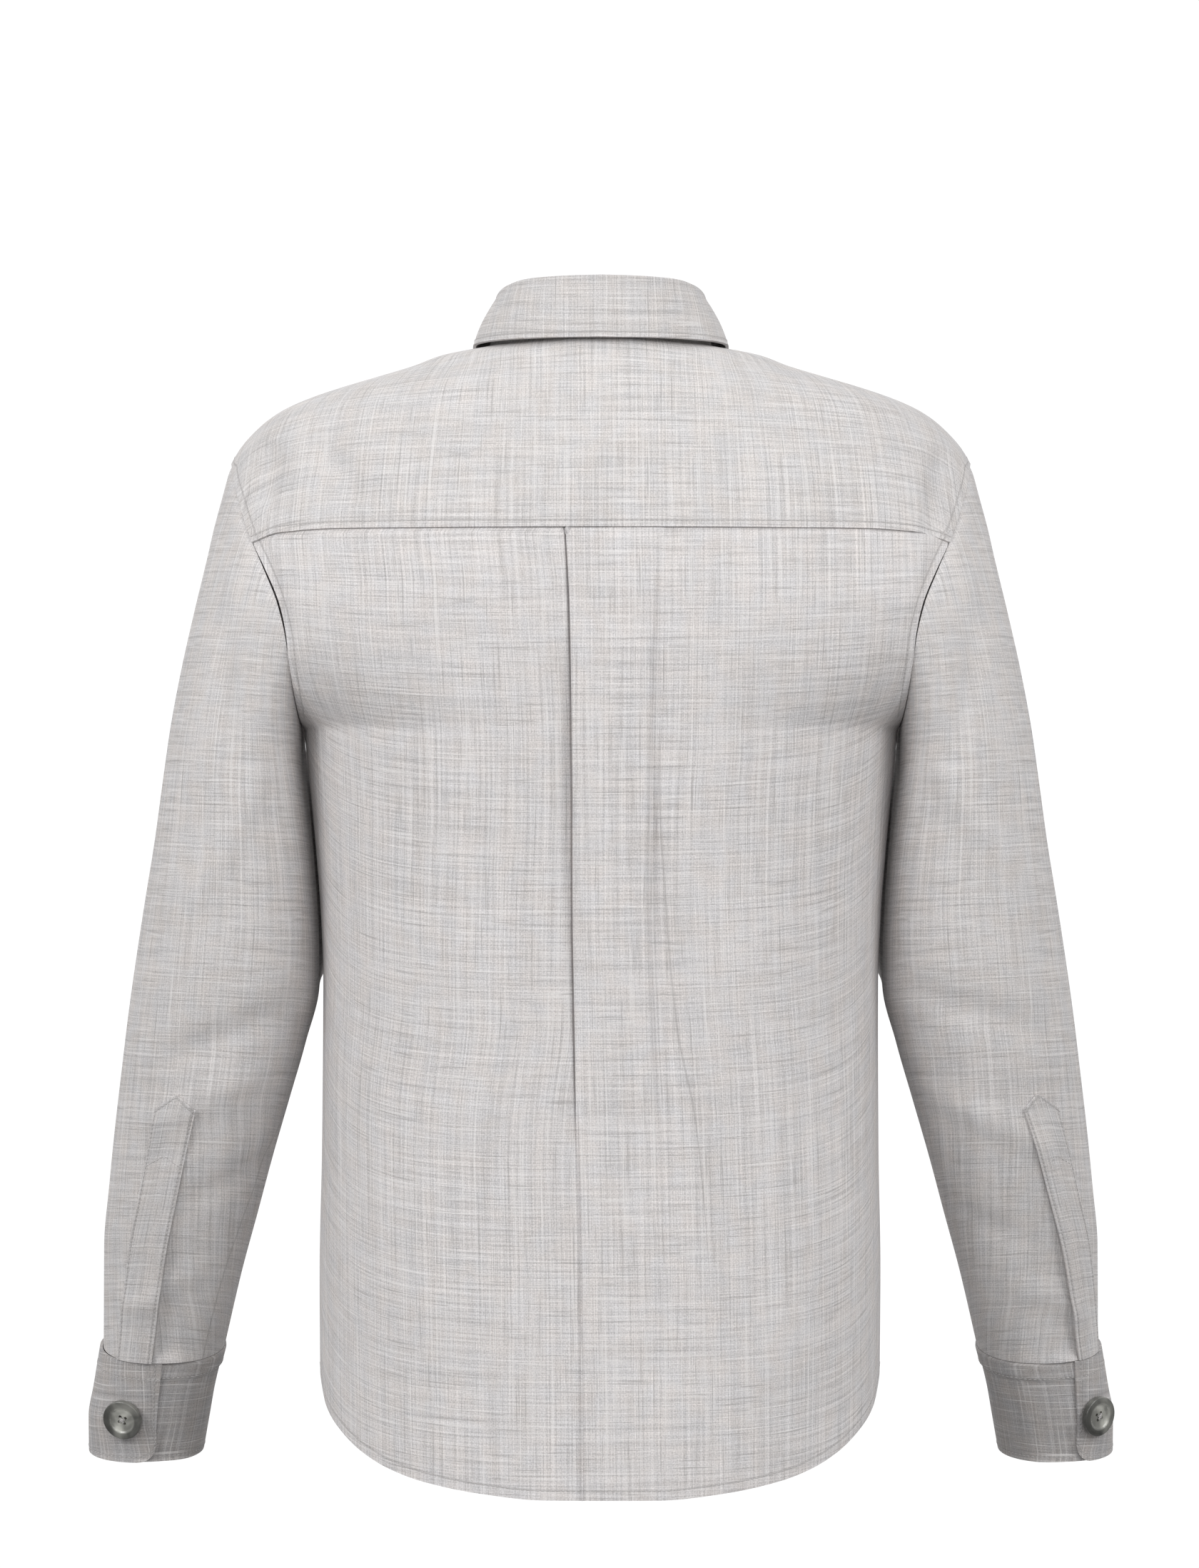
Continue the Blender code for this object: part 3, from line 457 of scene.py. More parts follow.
# %% Measure a grid, and make it cloth
def arc(points, axis):
    """Distance run along the grid's columns (axis 0) or rows (axis 1), from its first edge."""
    steps = np.linalg.norm(np.diff(points, axis=axis), axis=2)
    start = np.zeros_like(np.take(steps, [0], axis=axis))
    return np.cumsum(np.concatenate([start, steps], axis=axis), axis=axis)


def facing(points, core, closed=False):
    """The grid's normals, turned away from core, a point or a grid of points inside the piece."""
    if closed:
        ringed = np.concatenate([points[:, -2:-1], points, points[:, 1:2]], axis=1)
        across = ringed[:, 2:] - ringed[:, :-2]
    else:
        across = np.gradient(points, axis=1)
    normal = np.cross(across, np.gradient(points, axis=0))
    normal /= np.maximum(np.linalg.norm(normal, axis=2, keepdims=True), 1e-9)
    return normal * np.sign(np.sum(normal * (points - core)))


def link_mesh(name, mesh):
    piece = bpy.data.objects.new(name, mesh)
    bpy.context.scene.collection.objects.link(piece)
    return piece


def only(piece):
    """Selects one object alone and makes it the active one."""
    bpy.ops.object.select_all(action="DESELECT")
    piece.select_set(True)
    bpy.context.view_layer.objects.active = piece


def finish_piece(piece, slot, *nodes):
    """The piece rides on the one body and stands for its CAD nodes, which are hidden. Its slot is not used.
    """
    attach(piece, "root")
    if nodes:
        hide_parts(*nodes)
    print(piece.name, len(piece.data.polygons), "faces")
    return piece


# A distance that stands for no seam nearby, and a height below the whole garment
NO_SEAM = 50.0
EVERYWHERE = -700.0


def edge_gaps(points):
    """How far along the cloth each point of a grid is from the grid's four edges."""
    across, down = arc(points, 1), arc(points, 0)
    return {"top": down, "bottom": down[-1:] - down, "left": across, "right": across[:, -1:] - across}


def roll_edges(points, normal, rolls, lowest=EVERYWHERE):
    """Lifts (or sinks) the cloth beside its seams, from rows of (edge, lift, width)."""
    gaps = edge_gaps(points)
    lift = sum(height * np.exp(-((gaps[edge] / width) ** 2)) for edge, height, width in rolls)
    lift = lift * soft_step((points[..., 2] - lowest) / 12)
    return points + normal * lift[..., None]


def nearest(first, second):
    """Of two signed distances, the one closer to zero."""
    return np.where(np.abs(first) < np.abs(second), first, second)


def make_cloth(name, points, normal, thickness, slot, node, closed=False, sewn=(), pressed=None):
    """A sheet of cloth through the grid, with its grain, its thickness and its rows of stitches.

    sewn holds (edge, inset, lowest height) for each row of stitches. The seam attribute is the distance from
    the nearest row: negative towards the edge, positive towards the middle. pressed holds more such
    distances, from folds and from seams inside the piece. Along these lines the cloth's material sinks the
    cloth and darkens it with painted shade.
    """
    rows, columns = points.shape[:2]
    gaps = edge_gaps(points)
    across, down = gaps["left"], gaps["top"]
    seam = np.full((rows, columns), NO_SEAM) if pressed is None else pressed
    lines = []
    for edge, inset, lowest in sewn:
        seam = np.where(points[..., 2] > lowest, nearest(seam, gaps[edge] - inset), seam)
        line, turned = inset_path(points, normal, edge, inset)
        high = line[:, 2] > lowest
        lines.append((line[high], turned[high]))
    if lines:
        sew(name.replace("overshirt", "stitches"), lines, slot)
    u = across - across[:, [columns // 2]]
    v = -points[:1, :, 2] + down
    kept = columns - 1 if closed else columns
    index = np.arange(rows * kept).reshape(rows, kept)
    if closed:
        index = np.concatenate([index, index[:, :1]], axis=1)

    def corners(values):
        order = [values[:-1, :-1], values[:-1, 1:], values[1:, 1:], values[1:, :-1]]
        if inverted:
            order.reverse()
        return np.stack(order, axis=2)

    plain = np.cross(np.gradient(points, axis=1), np.gradient(points, axis=0))
    inverted = np.sum(plain * normal) < 0
    mesh = bpy.data.meshes.new(name)
    faces = corners(index).reshape(-1, 4).tolist()
    mesh.from_pydata((points[:, :kept].reshape(-1, 3) * MM).tolist(), [], faces)
    grain = mesh.uv_layers.new(name="grain")
    laid = np.stack([corners(u), corners(v)], axis=-1) * MM
    grain.data.foreach_set("uv", laid.astype(np.float32).ravel())
    row_gap = mesh.attributes.new("seam", "FLOAT", "POINT")
    row_gap.data.foreach_set("value", seam[:, :kept].astype(np.float32).ravel())
    mesh.materials.append(CLOTHS[slot])
    piece = link_mesh(name, mesh)
    only(piece)
    wall = piece.modifiers.new("wall", "SOLIDIFY")
    wall.thickness = thickness * MM
    wall.offset = -1
    wall.use_quality_normals = True
    bpy.ops.object.modifier_apply(modifier="wall")
    bpy.ops.object.shade_smooth_by_angle(angle=math.radians(50))
    size = [round(float(s) * MM, 3) for s in (across[:, -1].max(), down[-1].max())]
    area = float(np.linalg.norm(plain[:-1, :-1], axis=2).sum()) * MM * MM
    print(name, "is cut about", size, "metres, area", round(area, 4))
    return finish_piece(piece, slot, node)


# %% [markdown]
# ## Creases
# Cloth that hangs from a body keeps a few soft lines: pulls below the armholes, a break at the elbow,
# a roll above the cuff. Each is a ridge or a trough along a straight line, with soft ends. A row of
# the table says where it starts and ends, how wide it is and how far it lifts.


# %% Lift the cloth along lines
def press(across, down, rows):
    """Millimetres of lift, from rows of (start across, start down, end across, end down, width, lift)."""
    total = np.zeros(np.broadcast(across, down).shape)
    for from_across, from_down, to_across, to_down, width, lift in rows:
        run = Vector((to_across - from_across, to_down - from_down))
        share = ((across - from_across) * run.x + (down - from_down) * run.y) / run.length_squared
        share = np.clip(share, 0, 1)
        away = np.hypot(across - from_across - share * run.x, down - from_down - share * run.y)
        total += lift * np.exp(-((away / width) ** 2)) * (4 * share * (1 - share)) ** 0.6
    return total


# %% [markdown]
# ## Sewing
# A seam's thread shows as a row of short dashes. One stitch is modelled as a small long bead and
# repeated along a line, turned to lie on the cloth. The line keeps an even distance from the piece's
# edge, as the machine's foot does.

# %% One stitch, and rows of it
STITCH_PITCH = 2.9
STITCH_LENGTH = 2.2
STITCH_WIDTH = 0.55
STITCH_HEIGHT = 0.9 * STITCH_WIDTH
STITCH_LIFT = 0.05
HALF_STEP = 0.6
bpy.ops.object.select_all(action="DESELECT")
bpy.ops.mesh.primitive_uv_sphere_add(segments=6, ring_count=4, radius=0.5)
bead = bpy.context.object
bpy.ops.transform.rotate(value=math.radians(90), orient_axis="Y", center_override=(0, 0, 0))
bpy.ops.object.transform_apply(location=False, rotation=True, scale=False)
BEAD_POINTS = np.array([v.co for v in bead.data.vertices])
BEAD_FACES = [list(p.vertices) for p in bead.data.polygons]
bpy.data.objects.remove(bead)
chance = np.random.default_rng(7)


def inset_path(points, normal, edge, inset):
    """A line on the grid at a distance inside one edge: top, bottom, left or right."""
    sideways = edge in ("left", "right")
    grid = points.swapaxes(0, 1) if sideways else points
    turned = normal.swapaxes(0, 1) if sideways else normal
    if edge in ("bottom", "right"):
        grid, turned = grid[::-1], turned[::-1]
    run = arc(grid, 0)
    count = grid.shape[1]
    chosen = np.arange(count)
    place = np.array([np.interp(inset, run[:, i], np.arange(len(run))) for i in chosen])
    low = np.minimum(place.astype(int), len(run) - 2)
    share = (place - low)[:, None]
    line = grid[low, chosen] * (1 - share) + grid[low + 1, chosen] * share
    return line, turned[low, chosen]


def line_on(points, normal, rows, columns):
    """A line through the grid at fractional rows and columns."""
    low_row = np.clip(rows.astype(int), 0, points.shape[0] - 2)
    low_column = np.clip(columns.astype(int), 0, points.shape[1] - 2)
    r = (rows - low_row)[:, None]
    c = (columns - low_column)[:, None]
    upper = points[low_row, low_column] * (1 - c) + points[low_row, low_column + 1] * c
    lower = points[low_row + 1, low_column] * (1 - c) + points[low_row + 1, low_column + 1] * c
    return upper * (1 - r) + lower * r, normal[low_row, low_column]


def on_line(values, run, at):
    """The point or direction at a distance along a line."""
    return np.array([np.interp(at, run, values[:, k]) for k in range(3)])


def sew(name, lines, slot):
    """One mesh with a row of stitches along each (line, normals)."""
    all_points = []
    all_faces = []
    for line, normals in lines:
        run = np.concatenate([[0], np.cumsum(np.linalg.norm(np.diff(line, axis=0), axis=1))])
        for at in np.arange(STITCH_PITCH / 2, run[-1], STITCH_PITCH):
            ahead = on_line(line, run, at + HALF_STEP)
            along = Vector(ahead - on_line(line, run, at - HALF_STEP)).normalized()
            up = Vector(on_line(normals, run, at))
            up = (up - along * up.dot(along)).normalized()
            beside = up.cross(along)
            length = STITCH_LENGTH * chance.uniform(0.92, 1.08)
            basis = np.array([along * length, beside * STITCH_WIDTH, up * STITCH_HEIGHT])
            first = len(all_points) * len(BEAD_POINTS)
            here = on_line(line, run, at) + np.array(up) * STITCH_LIFT
            all_points.append(here + BEAD_POINTS @ basis)
            all_faces += [[first + k for k in face] for face in BEAD_FACES]
    mesh = bpy.data.meshes.new(name)
    mesh.from_pydata((np.concatenate(all_points) * MM).tolist(), [], all_faces)
    mesh.shade_smooth()
    mesh.materials.append(thread)
    return finish_piece(link_mesh(name, mesh), slot)


print("one stitch has", len(BEAD_FACES), "faces")


# %% [markdown]
# ## Body panels
# A panel is cut from the yoke seam down to a curved hem. Each column of its grid has its own top and
# its own end, found by stepping to the seam a few times.


# %% Lay out a panel
def panel_grid(columns_at, column_count, top_of, end_of, side, row_count, lift):
    """Points of a body panel: rows from its top seam to its hem."""
    z = np.full((1, column_count), -110.0)
    for _ in range(8):
        z = top_of(columns_at(z)[0])
    tops = z
    z = np.full((1, column_count), -640.0)
    for _ in range(4):
        z = end_of(np.minimum(1.0, np.abs(columns_at(z)[0]) / EDGE["x"](z)))
    ends = z
    down = np.linspace(0, 1, row_count)[:, None]
    z = mix(tops, ends, down)
    x, raised = columns_at(z)
    points = body_point(x, z, side, raised + lift(x, z, side))
    depth = np.maximum(np.abs(points[..., 1]), SEAM_GAP / 2)
    points[..., 1] = side * depth
    return points


def body_core(points):
    return points * (0, 0, 1)


def waves(x, z, lift, width, length, top):
    """The slow waves of hanging cloth, which grow from a height downwards."""
    return lift * np.sin(x / width + z / length) * np.clip((-z - top) / 200, 0, 1)


# %% [markdown]
# ## The back and its pleat
# The middle of the back has a box pleat: cloth folded under on both sides of a raised strip, held at
# the yoke and fading out towards the hem. The left fold is crisp, so its columns run down a narrow
# slot, under the strip and back out. The right one is soft. A second crease starts beside it and
# wanders outwards.

# %% Make the back
PLEAT = table(
    "z fold_left fold_right crease raised dip soft_dip crease_raised",
    (-110, 19.9, -32.1, -46, 0.8, 0.1, 0.3, 0.0),
    (-155, 17.6, -28.5, -42, 1.1, 0.6, 1.2, 0.0),
    (-190, 16.8, -26.8, -38, 1.4, 2.4, 2.0, 0.0),
    (-235, 16.3, -25.6, -34, 1.4, 4.2, 2.6, 0.4),
    (-262, 16.0, -25.2, -33.5, 1.4, 4.3, 3.3, 2.1),
    (-320, 15.9, -24.5, -36.5, 1.2, 3.1, 3.4, 2.6),
    (-394, 14.8, -26.5, -43, 1.0, 1.4, 2.4, 2.3),
    (-450, 13.8, -29.0, -54, 0.5, 0.5, 1.0, 1.4),
    (-540, 12.0, -32.0, -62, 0.2, 0.1, 0.2, 0.3),
    (-664, 11.0, -34.0, -68, 0.1, 0.0, 0.0, 0.0),
)
# Steps across each fold: how far outside the fold line, the shares of the pleat's lift and of the dip
# beside it, and for the crisp fold how far the step tucks under and how deep the slot under it is
CRISP_FOLD = (
    (24.0, 0.0, 0.0, 0, 0), (20.0, 0.0, 0.04, 0, 0), (16.0, 0.0, 0.12, 0, 0), (12.5, 0.0, 0.28, 0, 0),
    (9.5, 0.0, 0.46, 0, 0), (7.0, 0.0, 0.66, 0, 0), (4.5, 0.0, 0.83, 0, 0), (2.8, 0.0, 0.94, 0, 0),
    (1.8, 0.0, 1.0, 0, 0), (1.2, 0.0, 1.0, 0, 0.12), (0.9, 0.0, 1.0, -0.2, 0.6), (0.5, 0.0, 1.0, -0.6, 1.0),
    (0.0, 0.0, 0.8, -1, 1.0), (0.0, 0.1, 0.2, -0.9, 0.75), (0.1, 0.35, 0.0, -0.25, 0.35),
    (0.3, 0.65, 0.0, 0, 0), (0.1, 0.86, 0.0, 0, 0), (-0.7, 0.97, 0.0, 0, 0), (-1.8, 1.0, 0.0, 0, 0),
)
SOFT_FOLD = (
    (-6.0, 1.0, 0.0), (-3.0, 1.15, 0.0), (-1.0, 1.25, 0.0), (0.5, 1.2, 0.0), (1.8, 0.9, 0.1), (3.0, 0.5, 0.4),
    (4.2, 0.2, 0.75), (5.5, 0.0, 0.95), (7.0, 0.0, 1.0), (9.0, 0.0, 0.8), (12.0, 0.0, 0.4), (16.0, 0.0, 0.0),
)
TUCK = 2.4
SLOT = 3.0
SHARP_SIDE = 1.1
SOFT_SIDE = 11.0
FOLD_SPACING = 2.2
SIDE_COLUMNS = 78
STRIP_COLUMNS = 16
BACK_ROWS = 190
BACK_CREASES = (
    (196, -116, 178, -180, 4.5, -2.4),
    (-196, -116, -178, -180, 4.5, -2.0),
    (100, -300, 60, -420, 16, 0.9),
    (-110, -260, -70, -400, 18, 0.8),
    (120, -420, 95, -600, 20, 1.0),
    (-125, -430, -105, -610, 22, 1.0),
    (70, -640, 30, -560, 12, 0.5),
    (46, -660, 82, -630, 7, 0.6),
)


def how_folded(raised):
    """1 where the pleat stands a millimetre high, and 0 where it has flattened."""
    return (raised - 0.4) / 0.6


def back_columns(z):
    """The x and lift of the back's columns, for heights in a grid that has one column each."""
    z = np.broadcast_to(z, (z.shape[0], BACK_COLUMNS))
    left_z, z = z[:, :SIDE_COLUMNS], z[:, SIDE_COLUMNS:]
    crisp_z, z = z[:, : len(CRISP_FOLD)], z[:, len(CRISP_FOLD) :]
    strip_z, z = z[:, :STRIP_COLUMNS], z[:, STRIP_COLUMNS:]
    soft_z, right_z = z[:, : len(SOFT_FOLD)], z[:, len(SOFT_FOLD) :]
    start = PLEAT["fold_left"](left_z) + CRISP_FOLD[0][0] + FOLD_SPACING
    left = column_x(mix(1, column_share(start, left_z), np.linspace(0, 1, SIDE_COLUMNS)), left_z)
    out, share, dip, tuck, slot = np.array(CRISP_FOLD).T
    raised = PLEAT["raised"](crisp_z)
    folded = np.clip(how_folded(raised), 0, 1)
    crisp = PLEAT["fold_left"](crisp_z) + out + tuck * TUCK * folded
    crisp_raised = raised * share - PLEAT["dip"](crisp_z) * dip - slot * SLOT * folded
    across = (np.arange(STRIP_COLUMNS) + 1) / (STRIP_COLUMNS + 1)
    strip_start = PLEAT["fold_left"](strip_z) - 1.8
    strip_end = PLEAT["fold_right"](strip_z) + 6.0
    strip = mix(strip_start, strip_end, across)
    strip_raised = PLEAT["raised"](strip_z) * (1 - 0.1 * np.sin(math.pi * across))
    out, share, dip = np.array(SOFT_FOLD).T
    soft = PLEAT["fold_right"](soft_z) - out
    soft_raised = PLEAT["raised"](soft_z) * share - PLEAT["soft_dip"](soft_z) * dip
    start = PLEAT["fold_right"](right_z) - SOFT_FOLD[-1][0] - FOLD_SPACING
    right = column_x(mix(column_share(start, right_z), -1, np.linspace(0, 1, SIDE_COLUMNS)), right_z)
    x = np.concatenate([left, crisp, strip, soft, right], axis=1)
    flat = np.zeros_like(left)
    raised = np.concatenate([flat, crisp_raised, strip_raised, soft_raised, flat], axis=1)
    return x, raised


def back_lift(x, z, side):
    """The crease beside the pleat, the soft creases, and the slow waves of hanging cloth."""
    away = x - PLEAT["crease"](z)
    sharp = np.where(away > 0, SHARP_SIDE, SOFT_SIDE)
    crease = PLEAT["crease_raised"](z) * np.exp(-((away / sharp) ** 2))
    return crease + press(x, z, BACK_CREASES) + waves(x, z, 0.7, 31, 210, 200)


def back_top(x):
    return YOKE_SEAM["z"](np.abs(x)) - CLOSE_SEAM


BACK_COLUMNS = 2 * SIDE_COLUMNS + len(CRISP_FOLD) + STRIP_COLUMNS + len(SOFT_FOLD)
back = panel_grid(back_columns, BACK_COLUMNS, back_top, HEM["back"], 1, BACK_ROWS, back_lift)
back_normal = facing(back, body_core(back))
back = roll_edges(back, back_normal, (("top", -1.0, 2.5),))
back = roll_edges(back, back_normal, (("left", 0.4, 3.5), ("right", 0.4, 3.5)), ARMHOLE_BOTTOM)
ARMHOLE_ROWS = (("left", 4.5, ARMHOLE_BOTTOM + 6), ("right", 4.5, ARMHOLE_BOTTOM + 6))
HEM_ROW = (("bottom", 5.5, EVERYWHERE),)
x, z = back[..., 0], back[..., 2]
# Painted shade: along the crisp fold and the crease the seam attribute darkens the cloth, standing in for the
# shadow in the fold's slot and beside the crease
fold_line = (x - PLEAT["fold_left"](z) - 0.6) / np.clip(how_folded(PLEAT["raised"](z)), 0.02, 1)
crease_line = (x - PLEAT["crease"](z)) / np.clip(PLEAT["crease_raised"](z) / 1.8, 0.02, 1)
make_cloth(
    "overshirt_back", back, back_normal, CLOTH, "body_cloth", "back_panel",
    sewn=HEM_ROW + ARMHOLE_ROWS, pressed=nearest(fold_line, crease_line),
)

# %% [markdown]
# ## The fronts and the band
# The right front laps over the left. Under the buttons runs a band of double cloth, sewn down along
# both edges. The left front passes beneath it.

# %% Make the fronts and the band
NECK_HALF_WIDTH = 66.0
NECK_BACK_DEPTH = 62.0
NECK_FRONT_DEPTH = 66.0
FRONT_YOKE_SEAM = 28.0
BAND_HALF_WIDTH = 18.0
BAND_PROUD = 0.5
UNDERLAP_DEPTH = 2.4
NECK_EDGE = 60.0
LEFT_FRONT_START = -15.0
RIGHT_FRONT_START = -18.3
FRONT_ROWS = 150
NEAR_COLUMNS = 26
FAR_COLUMNS = 62
BAND_COLUMNS = 14
FRONT_CREASES = (
    (95, -110, 60, -230, 14, 1.0),
    (130, -240, 70, -330, 18, 1.2),
    (-100, -110, -62, -240, 14, 1.0),
    (-135, -240, -75, -340, 18, 1.1),
    (110, -420, 90, -610, 20, 1.0),
    (-115, -400, -92, -600, 20, 1.1),
)


def front_top(x):
    share = np.minimum(1.0, np.abs(x) / NECK_HALF_WIDTH)
    neck = NECK_FRONT_DEPTH * np.sqrt(1 - share * share)
    return height(x, -np.maximum(FRONT_YOKE_SEAM, neck)) - CLOSE_SEAM


def front_columns(start, direction):
    """Columns from the centre line out to one side, close together round the neck."""

    def columns(z):
        z = np.broadcast_to(z, (z.shape[0], NEAR_COLUMNS + FAR_COLUMNS))
        near = mix(start, direction * NECK_EDGE, np.linspace(0, 1, NEAR_COLUMNS)) + 0 * z[:, :NEAR_COLUMNS]
        far_z = z[:, NEAR_COLUMNS:]
        share = np.arange(1, FAR_COLUMNS + 1) / FAR_COLUMNS
        far = direction * column_x(mix(column_share(NECK_EDGE, far_z), 1, share), far_z)
        x = np.concatenate([near, far], axis=1)
        raised = -UNDERLAP_DEPTH * (1 - soft_step((x - BAND_HALF_WIDTH - 1) / 8)) if direction > 0 else 0 * x
        return x, raised

    return columns


def band_columns(z):
    x = np.linspace(-BAND_HALF_WIDTH, BAND_HALF_WIDTH, BAND_COLUMNS) + 0 * z
    return x, BAND_PROUD + 0 * x


def front_lift(x, z, side):
    settled = soft_step((np.abs(x) - 20) / 20)
    return (press(x, z, FRONT_CREASES) + waves(x, z, 0.6, 29, -190, 220)) * settled


FRONT_COLUMNS = NEAR_COLUMNS + FAR_COLUMNS
for name, node, columns, count, thickness in (
    ("overshirt_front_left", "front_left", front_columns(LEFT_FRONT_START, 1), FRONT_COLUMNS, CLOTH),
    ("overshirt_front_right", "front_right", front_columns(RIGHT_FRONT_START, -1), FRONT_COLUMNS, CLOTH),
    ("overshirt_band", "front_band", band_columns, BAND_COLUMNS, DOUBLE_CLOTH),
):
    grid = panel_grid(columns, count, front_top, HEM["front"], -1, FRONT_ROWS, front_lift)
    normal = facing(grid, body_core(grid))
    rows = HEM_ROW + ARMHOLE_ROWS[1:]
    if node != "front_band":
        grid = roll_edges(grid, normal, (("right", 0.4, 3.5),), ARMHOLE_BOTTOM)
    if node == "front_band":
        rows = (("left", 5, EVERYWHERE), ("right", 5, EVERYWHERE))
    make_cloth(name, grid, normal, thickness, "body_cloth", node, sewn=rows)

# %% [markdown]
# ## The yoke
# The yoke is one piece that runs over both shoulders and round the back of the neck. Its grid steps
# from the back seam over the shoulder ridge. The outer columns end at the front seam and the inner
# ones on the neckline.

# %% Make the yoke
YOKE_ROWS = 56
YOKE_OUTER_COLUMNS = 52
YOKE_NECK_COLUMNS = 34
NECK_OUT = 0.3
NECK_SHARE = 0.4
BELOW_RIDGE = 30.0
YOKE_CREASES = (
    (190, -58, 197, -97, 8, -4.0),
    (163, -55, 153, -80, 10, -2.4),
    (156, -70, 137, -96, 10, -2.8),
    (-197, -62, -190, -118, 6, -3.6),
)


def ridge(x):
    """The height of the shoulder ridge over x, and the body's squareness just under it."""
    z = RIDGE["z"](np.abs(x))
    return z, BODY["squareness"](z - BELOW_RIDGE)


def yoke_point(x, step):
    """A point of the yoke, at a step that runs evenly over the ridge from the back (+) to the front (-)."""
    ridge_z, squareness = ridge(x)
    z = ridge_z - np.abs(step) ** squareness
    side = np.where(step >= 0, 1, -1)
    return np.stack(np.broadcast_arrays(x, side * surface_y(x, z, side), z), axis=-1)


def step_at(x, z, side):
    ridge_z, squareness = ridge(x)
    return side * np.maximum(0.0, ridge_z - z) ** (1 / squareness)


low_end = float(EDGE["x"](-118)) - SEAM_GAP / 2
high_end = float(EDGE["x"](-74.2)) - SEAM_GAP / 2
low_end_step = step_at(low_end, YOKE_SEAM["z"](low_end) + CLOSE_SEAM, 1)
high_end_step = step_at(high_end, height(high_end, -FRONT_YOKE_SEAM) + CLOSE_SEAM, -1)
down = np.linspace(0, 1, YOKE_ROWS)
end_step = mix(low_end_step, high_end_step, down)
end_x = np.full(YOKE_ROWS, 214.0)
for _ in range(60):
    end_x = mix(end_x, EDGE["x"](yoke_point(end_x, end_step)[..., 2]) - SEAM_GAP / 2, 0.3)
corner = math.asin(FRONT_YOKE_SEAM / NECK_FRONT_DEPTH)
corner_x = NECK_HALF_WIDTH * math.cos(corner)
outer = np.linspace(0, 1, YOKE_OUTER_COLUMNS)
inner = np.linspace(0, 1, YOKE_NECK_COLUMNS)[1:]
angle = mix(-corner, math.pi / 2, inner)
neck_depth = np.where(angle >= 0, NECK_BACK_DEPTH, NECK_FRONT_DEPTH) + NECK_OUT
low_share = np.concatenate([mix(1, NECK_SHARE, outer), mix(NECK_SHARE, 0, inner)])
up_x = np.concatenate([mix(end_x[-1], corner_x, outer), (NECK_HALF_WIDTH + NECK_OUT) * np.cos(angle)])
up_y = np.concatenate([-FRONT_YOKE_SEAM + 0 * outer, neck_depth * np.sin(angle)])
up_z = height(up_x, up_y) + CLOSE_SEAM * np.concatenate([1 + 0 * outer, np.maximum(0, 1 - 4 * inner)])
up_step = step_at(up_x, up_z, np.where(up_y >= 0, 1, -1))
low_x = low_share * low_end
low_step = step_at(low_x, YOKE_SEAM["z"](low_x) + CLOSE_SEAM, 1)
x = mix(low_share, (up_x / end_x[-1]), down[:, None] ** 3) * end_x[:, None]
half_yoke = yoke_point(x, mix(low_step, up_step, down[:, None]))
yoke = np.concatenate([half_yoke, half_yoke[:, -2::-1] * (-1, 1, 1)], axis=1)
yoke_normal = facing(yoke, yoke * (0.8, 0, 0) + (0, 0, -160))
yoke = yoke + yoke_normal * press(yoke[..., 0], yoke[..., 2], YOKE_CREASES)[..., None] * (yoke[..., 1:2] > 0)
yoke = roll_edges(yoke, yoke_normal, (("top", 0.5, 2.5), ("left", 0.4, 3.5), ("right", 0.4, 3.5)))
make_cloth(
    "overshirt_yoke", yoke, yoke_normal, CLOTH, "yoke_cloth", "yoke",
    sewn=(("top", 4, EVERYWHERE), ("left", 4.5, EVERYWHERE), ("right", 4.5, EVERYWHERE)),
)

# %% [markdown]
# ## The collar
# The collar has two parts. The stand follows the neckline and its ends lap at the front. The leaf
# rolls over the top of the stand and falls to an edge that lies just off the yoke.

# %% Make the collar's stand
FOLD_LINE = table("angle z", (-90, -46), (-60, -19), (-30, 14), (0, 29), (45, 35.3), (90, 36))
FOLD_HALF_WIDTH = 57.0
FOLD_BACK_DEPTH = 56.0
FOLD_FRONT_DEPTH = 62.0
STAND_START = -103.0
STAND_END = 283.0
STAND_LAP = 1.3
STAND_SINK = 1.5
STAND_COLUMNS = 170
STAND_ROWS = 12


def folded_angle(angle):
    """The same place on the wearer's left half, from -90 at the front to 90 at the back."""
    return np.where(angle <= 90, angle, 180 - angle)


def neckline(angle, out):
    turn = np.radians(angle)
    depth = np.where(np.sin(turn) >= 0, NECK_BACK_DEPTH, NECK_FRONT_DEPTH)
    x = NECK_HALF_WIDTH * np.cos(turn)
    y = depth * np.sin(turn)
    return np.stack([x + np.cos(turn) * out, y + np.sin(turn) * out, height(x, y)], axis=-1)


def fold_point(angle, out, up=0.0):
    """Points of the collar's fold line, on the top of the stand."""
    turn = np.radians(angle)
    depth = np.where(np.sin(turn) >= 0, FOLD_BACK_DEPTH, FOLD_FRONT_DEPTH) + out
    half = folded_angle(np.where(angle > 270, 540 - angle, np.where(angle < -90, -180 - angle, angle)))
    z = FOLD_LINE["z"](half) + up
    x = (FOLD_HALF_WIDTH + out) * np.cos(turn)
    return np.stack(np.broadcast_arrays(x, depth * np.sin(turn), z), axis=-1)


angle = np.linspace(STAND_START, STAND_END, STAND_COLUMNS)
under = np.clip(1 - (angle - STAND_START) / 40, 0, 1)
over = np.clip(1 - (STAND_END - angle) / 34, 0, 1)
out = STAND_LAP * over - STAND_LAP * under
low = neckline(angle, out) - (0, 0, STAND_SINK)
stand = mix(low, fold_point(angle, out), np.linspace(0, 1, STAND_ROWS)[:, None, None])
stand_normal = facing(stand, body_core(stand))
make_cloth("overshirt_collar_stand", stand, stand_normal, DOUBLE_CLOTH, "collar_cloth", "collar_stand")

